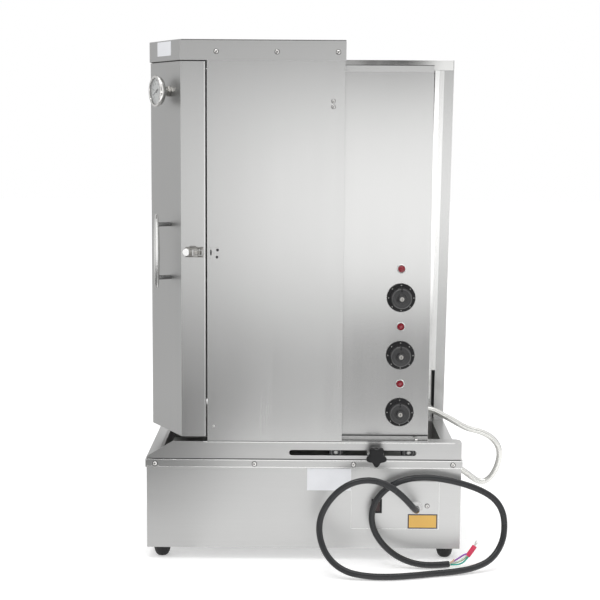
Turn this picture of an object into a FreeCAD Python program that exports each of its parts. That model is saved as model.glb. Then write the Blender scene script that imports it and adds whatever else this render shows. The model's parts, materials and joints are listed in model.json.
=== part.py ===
import FreeCAD, Part
import math
import os
import re
import Sketcher
from FreeCAD import Placement, Rotation, Vector

# Vertical rotisserie: a sheet-steel cabinet on a low base, with a wrap-round door on its left,
# an upright spit inside it, and a heater block on its right that slides along two guides.
# X runs from the door to the heater block, Y from the control side to the hinge side, Z up.

doc = FreeCAD.newDocument("vertical_rotisserie")
sheet = doc.addObject("Spreadsheet::Sheet", "Sizes")

SIZES = {
    # base
    "sheet_gauge": 1.5,
    "fit": 0.05,
    "glide_gap": 0.3,
    "depth_shift": 14,
    "base_width": 572,
    "base_depth": 370,
    "deck_height": 187,
    "foot_height": 22,
    "foot_radius": 15.5,
    "foot_tread": 13,
    "foot_inset": 25.5,
    "floor_gauge": 2,
    "lid_play": 0.5,
    "skirt_height": 15,
    "strip_width": 21,
    # guides
    "guide_height": 33,
    "guide_depth": 30,
    "guide_foot": 14,
    "guide_corner": 14,
    "wall_inset": 0.5,
    "wall_slope_run": 47.5,
    "wall_slope_drop": 28,
    "slot_drop": 20,
    "slot_width": 10,
    "slot_inset": 82,
    "slot_length": 231,
    "rail_end_gap": 6,
    # drip pan
    "pan_play": 2,
    "pan_depth": 37,
    "pan_gauge": 1.2,
    "pan_rim": 5,
    "collar_radius": 20,
    "collar_height": 30,
    # hatch, switch and cord gland
    "hatch_inset": 39,
    "hatch_width": 161,
    "hatch_lift": 37,
    "hatch_height": 89,
    "hatch_lap": 10,
    "switch_inset": 47,
    "switch_lift": 43,
    "switch_width": 19,
    "switch_height": 26,
    "switch_bezel": 2,
    "switch_edge": 1.8,
    "switch_depth": 20,
    "switch_well": 7,
    "rocker_play": 0.7,
    "rocker_rise": 1.6,
    "rocker_tilt": 4,
    "rocker_pin": 1.6,
    "gland_inset": 42.3,
    "gland_lift": 41,
    "gland_flange": 11,
    "gland_nose": 8.6,
    "gland_length": 11,
    "gland_collar": 3.85,
    "gland_thread": 8,
    "gland_tail": 14,
    "gland_seat": 6,
    "cord_radius": 5.5,
    # drive
    "spit_inset": 65.2,
    "stand_width": 110,
    "stand_depth": 100,
    "stand_gauge": 3,
    "stand_flange": 16,
    "gearbox_width": 90,
    "gearbox_depth": 80,
    "gearbox_height": 60,
    "motor_gap": 30,
    "motor_radius": 27,
    "motor_length": 85,
    "boss_radius": 22,
    "boss_height": 8,
    "shaft_seat": 20,
    "spit_radius": 8,
    "shaft_reach": 20,
    "hub_gap": 3,
    "hub_length": 43,
    "hub_radius": 14,
    "skirt_radius": 30,
    "skirt_gauge": 3,
    "plate_radius": 60,
    "plate_gauge": 4,
    "plate_boss": 16,
    "plate_boss_height": 6,
    "bar_drop": 12,
    "bar_width": 40,
    "bar_gauge": 2,
    "bar_lip": 12,
    "bush_radius": 12,
    "bush_flange": 18,
    "bush_flange_height": 4,
    "bush_below": 10,
    "bush_above": 8,
    "spit_above": 10,
    # cabinet
    "cabinet_top": 938,
    "panel_width": 243.2,
    "panel_drop": 8,
    "jamb_return": 20,
    "edge_gap": 3,
    "door_return": 43.4,
    "chamfer_run": 64.4,
    "chamfer_depth": 117,
    "door_lift": 9,
    "door_gap": 2,
    "door_thickness": 20,
    "cap_depth": 36,
    "cap_play": 0.3,
    "cap_overhang": 1.5,
    "far_drop": 18,
    "far_lip": 20,
    "far_return": 17,
    "far_overhang": 2,
    "far_rake": 9,
    "cap_notch": 2,
    # door hinges
    "hinge_leaf": 25,
    "hinge_height": 40,
    "hinge_barrel": 3.5,
    "hinge_pin": 1.75,
    "hinge_inset": 100,
    "hinge_gap": 0.2,
    # handle
    "handle_share": 0.34,
    "handle_lift": 334,
    "handle_pitch": 96,
    "handle_length": 134,
    "handle_standoff": 28,
    "handle_mid": 5.2,
    "handle_swell": 4.888,
    "handle_swell_at": 30.15,
    "handle_end": 4,
    "handle_tip": 2.8,
    "handle_round": 1,
    "post_radius": 4,
    # thermometer, heights measured outwards from the door's slanted face
    "gauge_share": 0.37,
    "gauge_drop": 52,
    "gauge_radius": 25.5,
    "gauge_back": 15,
    "gauge_front": 27,
    "gauge_seat": 22.5,
    "gauge_wall": 1.2,
    "bezel_gauge": 2,
    "bezel_lip": 4,
    "bezel_depth": 5,
    "probe_radius": 4,
    "probe_length": 45,
    "probe_play": 0.2,
    "neck_radius": 6,
    "nut_radius": 9,
    "nut_height": 6,
    "dial_gauge": 0.6,
    "glass_gauge": 1,
    "needle_lift": 0.6,
    "needle_gauge": 0.8,
    "needle_hub": 2.5,
    "needle_length": 18,
    "needle_tail": 8,
    "needle_width": 2.4,
    "needle_turn": -67,
    # latch
    "latch_lift": 335,
    "latch_inset": 3.8,
    "latch_width": 32,
    "latch_height": 18,
    "ear_run": 10,
    "ear_rise": 8.5,
    "latch_pin": 1.5,
    "pin_inset": 7,
    "pin_lift": 5.5,
    "knuckle": 2.8,
    "knuckle_gap": 0.4,
    "lever_length": 30,
    "lever_gauge": 1.2,
    "lever_tab": 4,
    "link_back": 11,
    "link_lift": 10,
    "link_pin": 1.2,
    "link_knuckle": 2.2,
    "link_reach": 17.6,
    "link_gauge": 1.2,
    "link_claw": 7,
    "lug_run": 6,
    "lug_gauge": 1.5,
    "catch_inset": 3.2,
    "catch_width": 18,
    "catch_drop": 2,
    "catch_height": 22,
    "catch_lip": 2,
    "catch_rise": 5,
    # heater block
    "block_overlap": 73,
    "block_width": 232,
    "block_inset": 30,
    "block_drop": 7,
    "block_flange": 20,
    "foot_play": 0.8,
    "foot_trim": 34,
    "notch_margin": 10,
    "floor_lift": 6,
    "lid_lip": 10,
    "reflector_inset": 87,
    "element_gap": 15,
    "element_radius": 4,
    "element_inset": 35.5,
    "element_pitch": 44,
    "element_lift": 113.7,
    "element_head": 115,
    "element_bend": 21.5,
    "element_tail": 20,
    "terminal_bend": 10,
    "guard_gap": 13,
    "guard_wire": 2,
    "guard_bar": 2.5,
    "guard_inset": 17.5,
    "guard_count": 9,
    "guard_margin": 30,
    "control_inset": 53,
    "control_lift": 49.7,
    "control_pitch": 105.4,
    "lamp_rise": 52.5,
    "regulator_width": 46,
    "regulator_depth": 28,
    "regulator_bore": 14,
    "knob_radius": 26,
    "knob_rim": 2.5,
    "knob_skirt": 5,
    "knob_shoulder": 7,
    "knob_height": 27,
    "knob_grip": 18,
    "knob_grip_top": 15.5,
    "knob_round": 1,
    "knob_lift": 0.5,
    "knob_stem": 3,
    "stem_play": 1,
    "bush_hole": 5,
    "lamp_radius": 6.4,
    "lamp_dome": 4.8,
    "lamp_height": 4.5,
    "lamp_shoulder": 2.88,
    "lamp_shoulder_height": 3.825,
    "lamp_rim": 1.2,
    "lamp_body": 4.8,
    "lamp_depth": 24,
    # clamp
    "clamp_inset": 97,
    "clamp_width": 30,
    "clamp_gauge": 3,
    "clamp_gap": 2,
    "clamp_below": 9,
    "clamp_above": 13,
    "stud_radius": 4,
    "washer_radius": 11,
    "washer_gauge": 1.5,
    "star_reach": 36,
    "star_thickness": 14,
    "star_neck": 9,
    "star_radius": 15,
    "star_round": 2,
    "lobe_radius": 6.2,
    "lobe_centre": 13.8,
    "lobe_drop": 1,
    "star_lobes": 5,
    # flexible conduit from the block to the base
    "conduit_radius": 5.3,
    "conduit_offset": -19,
    "conduit_play": 0.8,
    "outlet_lift": 21.7,
    "inlet_drop": 50,
    "fitting_radius": 9,
    "fitting_step": 2,
    "fitting_round": 1.5,
    "fitting_length": 8,
    "fitting_collar": 4,
    "fitting_seat": 3,
    "fitting_tail": 4,
    # bare cores at the end of the power cord
    "core_radius": 1.5,
    "core_ring": 3.1,
    "core_count": 5,
    "core_run": 14,
    "core_rise": 9,
    "core_step": 1.7,
    "core_spread": 1.7,
    "core_tip_lift": 2.5,
    "core_turn": 18,
}
for row, (alias, number) in enumerate(SIZES.items(), start=1):
    sheet.set(f"A{row}", alias)
    sheet.set(f"B{row}", str(number))
    sheet.setAlias(f"B{row}", alias)
doc.recompute()

# Places that follow from the driving sizes.
DERIVED = {
    "near": "depth_shift - base_depth / 2",
    "far": "depth_shift + base_depth / 2",
    "left": "-base_width / 2",
    "right": "base_width / 2",
    "lid_over": "lid_play + sheet_gauge",
    "guide_top": "deck_height + guide_height",
    "slot_height": "guide_top - slot_drop",
    "slot_right": "right - slot_inset",
    "slot_left": "slot_right - slot_length",
    "wall_left": "left + wall_inset",
    "open_x": "right + lid_over - strip_width",
    "pan_x": "open_x - pan_play",
    "pan_near": "near + guide_depth + pan_play",
    "pan_far": "far - guide_depth - pan_play",
    "pan_low": "deck_height - pan_depth",
    "collar_top": "pan_low + collar_height",
    "floor_top": "foot_height + floor_gauge",
    "gearbox_top": "pan_low - motor_gap",
    "stand_top": "gearbox_top - gearbox_height",
    "hatch_right": "right - hatch_inset",
    "hatch_left": "hatch_right - hatch_width",
    "hatch_low": "foot_height + hatch_lift",
    "hatch_high": "hatch_low + hatch_height",
    "hatch_face": "near - sheet_gauge",
    "switch_x": "hatch_left + switch_inset",
    "switch_z": "hatch_low + switch_lift",
    "gland_x": "hatch_right - gland_inset",
    "gland_z": "hatch_low + gland_lift",
    "door_edge": "left + chamfer_run + door_return",
    "panel_left": "door_edge + edge_gap",
    "panel_right": "panel_left + panel_width",
    "panel_top": "cabinet_top - panel_drop",
    "chamfer_x": "door_edge - door_return",
    "front": "chamfer_x - chamfer_run",
    "chamfer_length": "sqrt(chamfer_run * chamfer_run + chamfer_depth * chamfer_depth)",
    "cap_low": "cabinet_top - cap_depth",
    "cap_right": "panel_right + cap_overhang",
    "door_low": "guide_top + door_lift",
    "door_top": "cap_low - door_gap",
    "far_top": "cabinet_top - far_drop",
    "rear_edge": "right + far_overhang",
    "hinge_x": "panel_left - edge_gap / 2",
    "hinge_y": "far + hinge_barrel + glide_gap",
    "handle_z": "door_low + handle_lift",
    "gauge_z": "door_top - gauge_drop",
    "spit_x": "panel_left + spit_inset",
    "hub_low": "collar_top + hub_gap",
    "hub_top": "hub_low + hub_length",
    "shaft_top": "hub_low + shaft_reach",
    "bar_height": "panel_top - bar_drop",
    "latch_right": "door_edge - latch_inset",
    "latch_left": "latch_right - latch_width",
    "latch_z": "door_low + latch_lift",
    "pin_x": "latch_right - pin_inset",
    "pin_y": "near - pin_lift",
    "link_x": "pin_x - link_back",
    "link_y": "near - link_lift",
    "catch_left": "panel_left + catch_inset",
    "catch_right": "catch_left + catch_width",
    "catch_z": "latch_z - catch_drop",
    "control_face": "near + block_inset",
    "block_far": "far - block_inset",
    "block_left": "panel_right - block_overlap",
    "block_right": "block_left + block_width",
    "block_low": "guide_top + glide_gap",
    "block_floor": "block_low + floor_lift",
    "block_top": "cap_low - block_drop",
    "reflector_x": "block_right - reflector_inset",
    "element_x": "reflector_x - element_gap",
    "guard_x": "element_x - guard_gap",
    "element_low": "block_floor + element_lift",
    "element_reach": "(block_far - control_face) / 2 - sheet_gauge - element_inset",
    "zone_pitch": "(block_top - element_head - element_low) / 2",
    "guard_first": "control_face + sheet_gauge + guard_inset",
    "guard_last": "block_far - sheet_gauge - guard_inset",
    "guard_pitch": "(guard_last - guard_first) / (guard_count - 1)",
    "control_x": "block_right - control_inset",
    "control_low": "block_low + control_lift",
    "clamp_x": "block_right - clamp_inset",
    "conduit_y": "depth_shift + conduit_offset",
    "outlet_z": "block_floor + outlet_lift",
    "inlet_z": "deck_height - inlet_drop",
}

# Turns a body's own upright axis to point out of the control side.
OUTWARD_NEAR = Rotation(Vector(1, 0, 0), 90)
# Share of the shorter run that an arc of a free cord takes up on each side.
ARC_SHARE = 0.45


def bound(text):
    """Write a size expression with every name tied to its cell."""
    def swap(match):
        name = match.group(0)
        if name in DERIVED:
            return f"({bound(DERIVED[name])})"
        return f"Sizes.{name}" if name in SIZES else name
    return re.sub(r"[A-Za-z_]\w*", swap, str(text))


def size(text):
    """Give the number that a size expression stands for."""
    return float(sheet.evalExpression(bound(text)))


def new_body(label):
    body = doc.addObject("PartDesign::Body", label)
    body.Label = label
    return body


def new_sketch(body, plane, level):
    sketch = body.newObject("Sketcher::SketchObject", "Outline")
    origin = next(item for item in body.Origin.OriginFeatures if item.Role == f"{plane}_Plane")
    sketch.AttachmentSupport = [(origin, "")]
    sketch.MapMode = "FlatFace"
    sign = "-1 * " if plane == "XZ" else ""
    sketch.setExpression("AttachmentOffset.Base.z", f"{sign}({bound(level)})")
    return sketch


def tie(sketch, kind, *where, text):
    index = sketch.addConstraint(Sketcher.Constraint(kind, *where, size(text)))
    sketch.setExpression(f"Constraints[{index}]", bound(text))


def draw(sketch, outline):
    """Draw a closed outline: a list of corners, or a circle as (x, y, radius)."""
    first = sketch.GeometryCount
    if isinstance(outline, tuple):
        x, y, radius = outline
        sketch.addGeometry(Part.Circle(Vector(size(x), size(y), 0), Vector(0, 0, 1), size(radius)), False)
        tie(sketch, "DistanceX", -1, 1, first, 3, text=x)
        tie(sketch, "DistanceY", -1, 1, first, 3, text=y)
        tie(sketch, "Radius", first, text=radius)
        return
    corners = [Vector(size(x), size(y), 0) for x, y in outline]
    count = len(corners)
    for index, corner in enumerate(corners):
        sketch.addGeometry(Part.LineSegment(corner, corners[(index + 1) % count]), False)
    for index, (x, y) in enumerate(outline):
        follower = first + (index + 1) % count
        sketch.addConstraint(Sketcher.Constraint("Coincident", first + index, 2, follower, 1))
        tie(sketch, "DistanceX", -1, 1, first + index, 1, text=x)
        tie(sketch, "DistanceY", -1, 1, first + index, 1, text=y)


def add(body, plane, outline, start, end):
    """Add a prism that stands on a plane and runs from start to end across it."""
    sketch = new_sketch(body, plane, end if plane == "XZ" else start)
    draw(sketch, outline)
    pad = body.newObject("PartDesign::Pad", "Pad")
    pad.Profile = sketch
    pad.setExpression("Length", f"({bound(end)}) - ({bound(start)})")
    return body


def cut(body, plane, outline, start, end):
    """Cut a prism away between start and end."""
    sketch = new_sketch(body, plane, start if plane == "XZ" else end)
    draw(sketch, outline)
    pocket = body.newObject("PartDesign::Pocket", "Pocket")
    pocket.Profile = sketch
    pocket.setExpression("Length", f"({bound(end)}) - ({bound(start)})")
    return body


def turn(body, outline):
    """Turn a profile of (radius, height) corners about the body's own upright axis."""
    sketch = new_sketch(body, "XZ", "0")
    draw(sketch, outline)
    turned = body.newObject("PartDesign::Revolution", "Revolution")
    turned.Profile = sketch
    turned.ReferenceAxis = (sketch, ["V_Axis"])
    turned.Angle = 360
    return body


def place(body, x, y, z, rotation=Rotation()):
    body.Placement = Placement(Vector(size(x), size(y), size(z)), rotation)
    for axis, text in zip("xyz", (x, y, z)):
        body.setExpression(f"Placement.Base.{axis}", bound(text))
    return body


def rect(x0, x1, y0, y1):
    return [(x0, y0), (x1, y0), (x1, y1), (x0, y1)]


def box(label, x0, x1, y0, y1, z0, z1):
    return add(new_body(label), "XY", rect(x0, x1, y0, y1), z0, z1)


def rod(label, x, y, z0, z1, radius):
    return add(new_body(label), "XY", (x, y, radius), z0, z1)


def group(label, members):
    """Keep several separate solids together under one name."""
    whole = doc.addObject("Part::Compound", label)
    whole.Label = label
    whole.Links = members
    return whole


def fuse(label, members):
    whole = doc.addObject("Part::MultiFuse", label)
    whole.Label = label
    whole.Shapes = members
    whole.Refine = True
    return whole


def drill(label, base, tool):
    base.Label = f"{label}_blank"
    whole = doc.addObject("Part::Cut", label)
    whole.Label = label
    whole.Base = base
    whole.Tool = tool
    return whole


def bent_wire(points, radii):
    """Join straight runs with tangent arcs, one radius for each inner point."""
    edges = []
    start = points[0]
    for index, radius in enumerate(radii, start=1):
        corner = points[index]
        back = (points[index - 1] - corner).normalize()
        ahead = (points[index + 1] - corner).normalize()
        half = back.getAngle(ahead) / 2
        reach = radius / math.tan(half)
        inward = (back + ahead).normalize()
        middle = corner + inward * (radius / math.sin(half) - radius)
        edges.append(Part.makeLine(start, corner + back * reach))
        edges.append(Part.Arc(corner + back * reach, middle, corner + ahead * reach).toShape())
        start = corner + ahead * reach
    edges.append(Part.makeLine(start, points[-1]))
    return Part.Wire(edges)


def tube_along(wire, radius):
    start = wire.Edges[0].firstVertex().Point
    heading = wire.Edges[0].tangentAt(wire.Edges[0].FirstParameter)
    ring = Part.Wire([Part.makeCircle(radius, start, heading)])
    solid = wire.makePipeShell([ring], True, False)
    return solid


def feature(label, shape):
    item = doc.addObject("Part::Feature", label)
    item.Label = label
    item.Shape = shape
    item.Placement = Placement()
    return item


# Base: a four-sided shell, a floor, four feet and a lid frame round the drip pan.
def build_base():
    shell_top = "deck_height - sheet_gauge"
    shell = box("base_shell", "left", "right", "near", "far", "foot_height", shell_top)
    inside = rect("left + sheet_gauge", "right - sheet_gauge", "near + sheet_gauge", "far - sheet_gauge")
    cut(shell, "XY", inside, "foot_height", shell_top)
    hatch = rect("hatch_left + hatch_lap", "hatch_right - hatch_lap",
                 "hatch_low + hatch_lap", "hatch_high - hatch_lap")
    cut(shell, "XZ", hatch, "near", "near + sheet_gauge")
    cut(shell, "YZ", ("conduit_y", "inlet_z", "fitting_radius - fitting_step"),
        "right - sheet_gauge", "right")

    add(new_body("base_floor"), "XY", inside, "foot_height", "floor_top")

    feet = []
    for x in ("left + foot_inset", "right - foot_inset"):
        for y in ("near + foot_inset", "far - foot_inset"):
            foot = doc.addObject("Part::Cone", "Foot")
            foot.setExpression("Radius1", bound("foot_tread"))
            foot.setExpression("Radius2", bound("foot_radius"))
            foot.setExpression("Height", bound("foot_height"))
            feet.append(place(foot, x, y, "0"))
    group("rubber_feet", feet)

    lid = box("deck_frame", "left - lid_over", "right + lid_over", "near - lid_over", "far + lid_over",
              "deck_height - skirt_height", "deck_height")
    cut(lid, "XY", rect("left - lid_play", "right + lid_play", "near - lid_play", "far + lid_play"),
        "deck_height - skirt_height", "deck_height - sheet_gauge")
    cut(lid, "XY", rect("-1 * open_x", "open_x", "near + guide_depth", "far - guide_depth"),
        "deck_height - sheet_gauge", "deck_height")


# Guides: a slotted wall on the control side and an angle rail on the hinge side.
def build_guides():
    wall = new_body("near_guide_wall")
    slope_x = "wall_left + wall_slope_run"
    outline = [("wall_left", "deck_height"), ("right", "deck_height"), ("right", "guide_top"),
               (slope_x, "guide_top"), ("wall_left", "guide_top - wall_slope_drop")]
    add(wall, "XZ", outline, "near", "near + sheet_gauge")
    add(wall, "XY", rect(slope_x, "right", "near", "near + guide_depth"),
        "guide_top - sheet_gauge", "guide_top")
    add(wall, "XY", rect("wall_left", "right", "near", "near + sheet_gauge + guide_foot"),
        "deck_height", "deck_height + sheet_gauge")
    half = "slot_width / 2"
    ends = (f"slot_left + {half}", f"slot_right - {half}")
    cut(wall, "XZ", rect(*ends, f"slot_height - {half}", f"slot_height + {half}"),
        "near", "near + sheet_gauge")
    for x in ends:
        cut(wall, "XZ", (x, "slot_height", half), "near", "near + sheet_gauge")
    doc.recompute()
    corner = Vector(size("right"), size("near + guide_depth"), size("guide_top - sheet_gauge / 2"))
    last = wall.Tip
    edge = min(range(len(last.Shape.Edges)),
               key=lambda index: last.Shape.Edges[index].CenterOfMass.distanceToPoint(corner))
    rounded = wall.newObject("PartDesign::Fillet", "Fillet")
    rounded.Base = (last, [f"Edge{edge + 1}"])
    rounded.setExpression("Radius", bound("guide_corner"))

    rail = new_body("far_guide_rail")
    rail_right = "rear_edge - far_lip - rail_end_gap"
    inner = "far - sheet_gauge"
    add(rail, "XY", rect(slope_x, rail_right, "far - 2 * sheet_gauge", inner), "deck_height", "guide_top")
    add(rail, "XY", rect(slope_x, rail_right, "far - guide_depth", inner),
        "guide_top - sheet_gauge", "guide_top")


# Drip pan: a sunk tray with a turned-out rim and a raised collar round the drive.
def build_drip_pan():
    pan = box("drip_pan", "-1 * pan_x", "pan_x", "pan_near", "pan_far", "pan_low", "deck_height")
    rim = rect("-1 * pan_x - pan_rim", "pan_x + pan_rim", "pan_near - pan_rim", "pan_far + pan_rim")
    add(pan, "XY", rim, "deck_height", "deck_height + pan_gauge")
    hollow = rect("pan_gauge - pan_x", "pan_x - pan_gauge", "pan_near + pan_gauge", "pan_far - pan_gauge")
    cut(pan, "XY", hollow, "pan_low + pan_gauge", "deck_height + pan_gauge")
    add(pan, "XY", ("spit_x", "depth_shift", "collar_radius"), "pan_low", "collar_top")
    cut(pan, "XY", ("spit_x", "depth_shift", "collar_radius - pan_gauge"), "pan_low", "collar_top")


# Hatch on the control side, with the mains switch and the cord gland.
def build_hatch():
    hatch = add(new_body("hatch_cover"), "XZ", rect("hatch_left", "hatch_right", "hatch_low", "hatch_high"),
                "hatch_face", "near")
    cut(hatch, "XZ", ("gland_x", "gland_z", "gland_thread + fit"), "hatch_face", "near")

    def around_switch(margin):
        return rect(f"switch_x - switch_width / 2 + {margin}", f"switch_x + switch_width / 2 - {margin}",
                    f"switch_z - switch_height / 2 + {margin}", f"switch_z + switch_height / 2 - {margin}")

    cut(hatch, "XZ", around_switch("(switch_edge - fit)"), "hatch_face", "near")
    housing = new_body("switch_housing")
    bezel_face = "hatch_face - switch_bezel"
    well = "2 * switch_edge"
    add(housing, "XZ", around_switch("0"), bezel_face, "hatch_face")
    add(housing, "XZ", around_switch("switch_edge"), "hatch_face", "hatch_face + switch_depth")
    cut(housing, "XZ", around_switch(well), bezel_face, "hatch_face + switch_well")

    rocker = new_body("switch_rocker")
    tall = f"(switch_height / 2 - {well} - rocker_play)"
    wide = f"(switch_width / 2 - {well} - rocker_play / 2)"
    lip = "(switch_bezel + rocker_rise)"
    outline = [(f"-1 * {lip}", f"-1 * {tall}"), (f"rocker_rise / 2 - {lip}", "0"), (f"-1 * {lip}", tall),
               ("switch_well / 2", tall), ("switch_well - rocker_play", "0"),
               ("switch_well / 2", f"-1 * {tall}")]
    add(rocker, "YZ", outline, f"-1 * {wide}", wide)
    end = f"(switch_width / 2 - {well} - fit)"
    add(rocker, "YZ", ("0", "0", "rocker_pin"), f"-1 * {end}", end)
    place(rocker, "switch_x", "hatch_face", "switch_z", Rotation(Vector(1, 0, 0), SIZES["rocker_tilt"]))

    gland = new_body("cord_gland")
    bore = "cord_radius + fit"
    turn(gland, [("0", "-1 * gland_tail"), ("gland_thread", "-1 * gland_tail"), ("gland_thread", "0"),
                 ("gland_flange", "0"), ("gland_flange", "gland_collar"),
                 ("gland_nose", "gland_length"), (bore, "gland_length"),
                 (bore, "gland_length - gland_seat"), ("0", "gland_length - gland_seat")])
    place(gland, "gland_x", "hatch_face", "gland_z", OUTWARD_NEAR)


# Drive: a gear motor on a stand, its shaft, the hub, the spit with its plate and the top bearing.
def build_drive():
    half_x, half_y = "stand_width / 2", "stand_depth / 2"
    sides = (f"spit_x - {half_x}", f"spit_x + {half_x}")
    stand_near, stand_far = f"depth_shift - {half_y}", f"depth_shift + {half_y}"
    stand = box("motor_stand", *sides, stand_near, stand_far, "floor_top", "stand_top")
    cut(stand, "XY", rect(*sides, f"{stand_near} + stand_gauge", f"{stand_far} - stand_gauge"),
        "floor_top", "stand_top - stand_gauge")
    for y0, y1 in ((f"{stand_near} - stand_flange", stand_near), (stand_far, f"{stand_far} + stand_flange")):
        add(stand, "XY", rect(*sides, y0, y1), "floor_top", "floor_top + stand_gauge")

    motor = box("gear_motor", "spit_x - gearbox_width / 2", "spit_x + gearbox_width / 2",
                "depth_shift - gearbox_depth / 2", "depth_shift + gearbox_depth / 2",
                "stand_top", "gearbox_top")
    add(motor, "YZ", ("depth_shift", "stand_top + gearbox_height / 2", "motor_radius"),
        "spit_x + gearbox_width / 2", "spit_x + gearbox_width / 2 + motor_length")
    axis = ("spit_x", "depth_shift")
    add(motor, "XY", (*axis, "boss_radius"), "gearbox_top", "gearbox_top + boss_height")
    cut(motor, "XY", (*axis, "spit_radius + fit"), "gearbox_top - shaft_seat", "gearbox_top + boss_height")

    rod("drive_shaft", *axis, "gearbox_top - shaft_seat", "shaft_top", "spit_radius")
    bore = "spit_radius + fit"
    hub = new_body("drive_hub")
    turn(hub, [(bore, "hub_low"), ("skirt_radius", "hub_low"), ("skirt_radius", "hub_low + skirt_gauge"),
               ("hub_radius", "hub_low + 2 * skirt_gauge"), ("hub_radius", "hub_top"), (bore, "hub_top")])
    place(hub, *axis, "0")
    rod("spit_rod", *axis, "shaft_top", "bar_height + spit_above", "spit_radius")
    plate = new_body("meat_plate")
    plate_low = "hub_top + plate_boss_height"
    turn(plate, [(bore, "hub_top"), ("plate_boss", "hub_top"), ("plate_boss", plate_low),
                 ("plate_radius", plate_low), ("plate_radius", f"{plate_low} + plate_gauge"),
                 (bore, f"{plate_low} + plate_gauge")])
    place(plate, *axis, "0")

    edges = ("spit_x - bar_width / 2", "spit_x + bar_width / 2")
    span = ("near + sheet_gauge", "far - sheet_gauge")
    bar_top = "bar_height + bar_gauge + bar_lip"
    bar = box("top_crossbar", *edges, *span, "bar_height", bar_top)
    cut(bar, "XY", rect(f"{edges[0]} + bar_gauge", f"{edges[1]} - bar_gauge", *span),
        "bar_height + bar_gauge", bar_top)
    cut(bar, "XY", (*axis, "bush_radius + fit"), "bar_height", "bar_height + bar_gauge")
    bush = new_body("top_bush")
    flange_low = "bar_height - bush_flange_height"
    bush_low, bush_top = "bar_height - bush_below", "bar_height + bush_above"
    turn(bush, [(bore, bush_low), ("bush_radius", bush_low), ("bush_radius", flange_low),
                ("bush_flange", flange_low), ("bush_flange", "bar_height"), ("bush_radius", "bar_height"),
                ("bush_radius", bush_top), (bore, bush_top)])
    place(bush, *axis, "0")


def wrap(edge, inset):
    """Plan of the cabinet's slant-cornered front, moved inwards by an inset, from near to far edge."""
    knee_x = f"chamfer_x + ({inset}) * (chamfer_length - chamfer_run) / chamfer_depth"
    knee_y = f"chamfer_depth + ({inset}) * (chamfer_length - chamfer_depth) / chamfer_run"
    return [(edge, f"near + ({inset})"), (knee_x, f"near + ({inset})"),
            (f"front + ({inset})", f"near + {knee_y}"), (f"front + ({inset})", f"far - ({knee_y})"),
            (knee_x, f"far - ({inset})"), (edge, f"far - ({inset})")]


def band(edge, outer, inner):
    return wrap(edge, outer) + wrap(edge, inner)[::-1]


# Cabinet: two side panels and the cap.
def build_cabinet():
    side = add(new_body("near_side_panel"), "XZ", rect("panel_left", "panel_right", "guide_top", "panel_top"),
               "near", "near + sheet_gauge")
    jamb = ("panel_left", "panel_left + sheet_gauge")
    add(side, "XY", rect(*jamb, "near", "near + jamb_return"), "guide_top", "panel_top")

    far = new_body("far_side_panel")
    top_edge = "rear_edge + far_rake"
    add(far, "XZ", [("panel_left", "deck_height"), ("rear_edge", "deck_height"), (top_edge, "far_top"),
                    ("panel_left", "far_top")], "far - sheet_gauge", "far")
    add(far, "XY", rect(*jamb, "far - jamb_return", "far"), "guide_top", "far_top")

    def raked(start, end):
        return [(f"rear_edge - {start}", "deck_height"), (f"rear_edge - {end}", "deck_height"),
                (f"{top_edge} - {end}", "far_top"), (f"{top_edge} - {start}", "far_top")]

    add(far, "XZ", raked("sheet_gauge", "0"), "far - far_return", "far")
    add(far, "XZ", raked("far_lip", "0"), "far - far_return", "far - far_return + sheet_gauge")
    lip_left = "cap_right + cap_play + sheet_gauge"
    add(far, "XY", rect(lip_left, top_edge, "far - far_return", "far"), "far_top - sheet_gauge", "far_top")
    add(far, "XZ", rect(lip_left, f"{top_edge} - sheet_gauge", "far_top - far_lip", "far_top"),
        "far - far_return", "far - far_return + sheet_gauge")

    cap = new_body("cap")
    add(cap, "XY", wrap("cap_right", "-1 * cap_play - sheet_gauge"), "cap_low", "cabinet_top")
    cut(cap, "XY", wrap("cap_right - sheet_gauge", "-1 * cap_play"), "cap_low", "cabinet_top - sheet_gauge")
    cut(cap, "XY", rect("cap_right - sheet_gauge", "cap_right", "near - cap_play", "far + cap_play"),
        "cap_low", "far_top + cap_notch")


def on_slant(share, lift):
    """A point on the door's near slanted face, at a share of its width and a lift outwards from it."""
    x = f"chamfer_x - {share} * chamfer_run - ({lift}) * chamfer_depth / chamfer_length"
    y = f"near + {share} * chamfer_depth - ({lift}) * chamfer_run / chamfer_length"
    return x, y


def slant_rotation():
    """Turn a body's own upright axis to point outwards from the door's near slanted face."""
    yaw = math.degrees(math.atan2(-size("chamfer_run"), -size("chamfer_depth")))
    return Rotation(Vector(0, 0, 1), yaw) * Rotation(Vector(0, 1, 0), 90)


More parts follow.
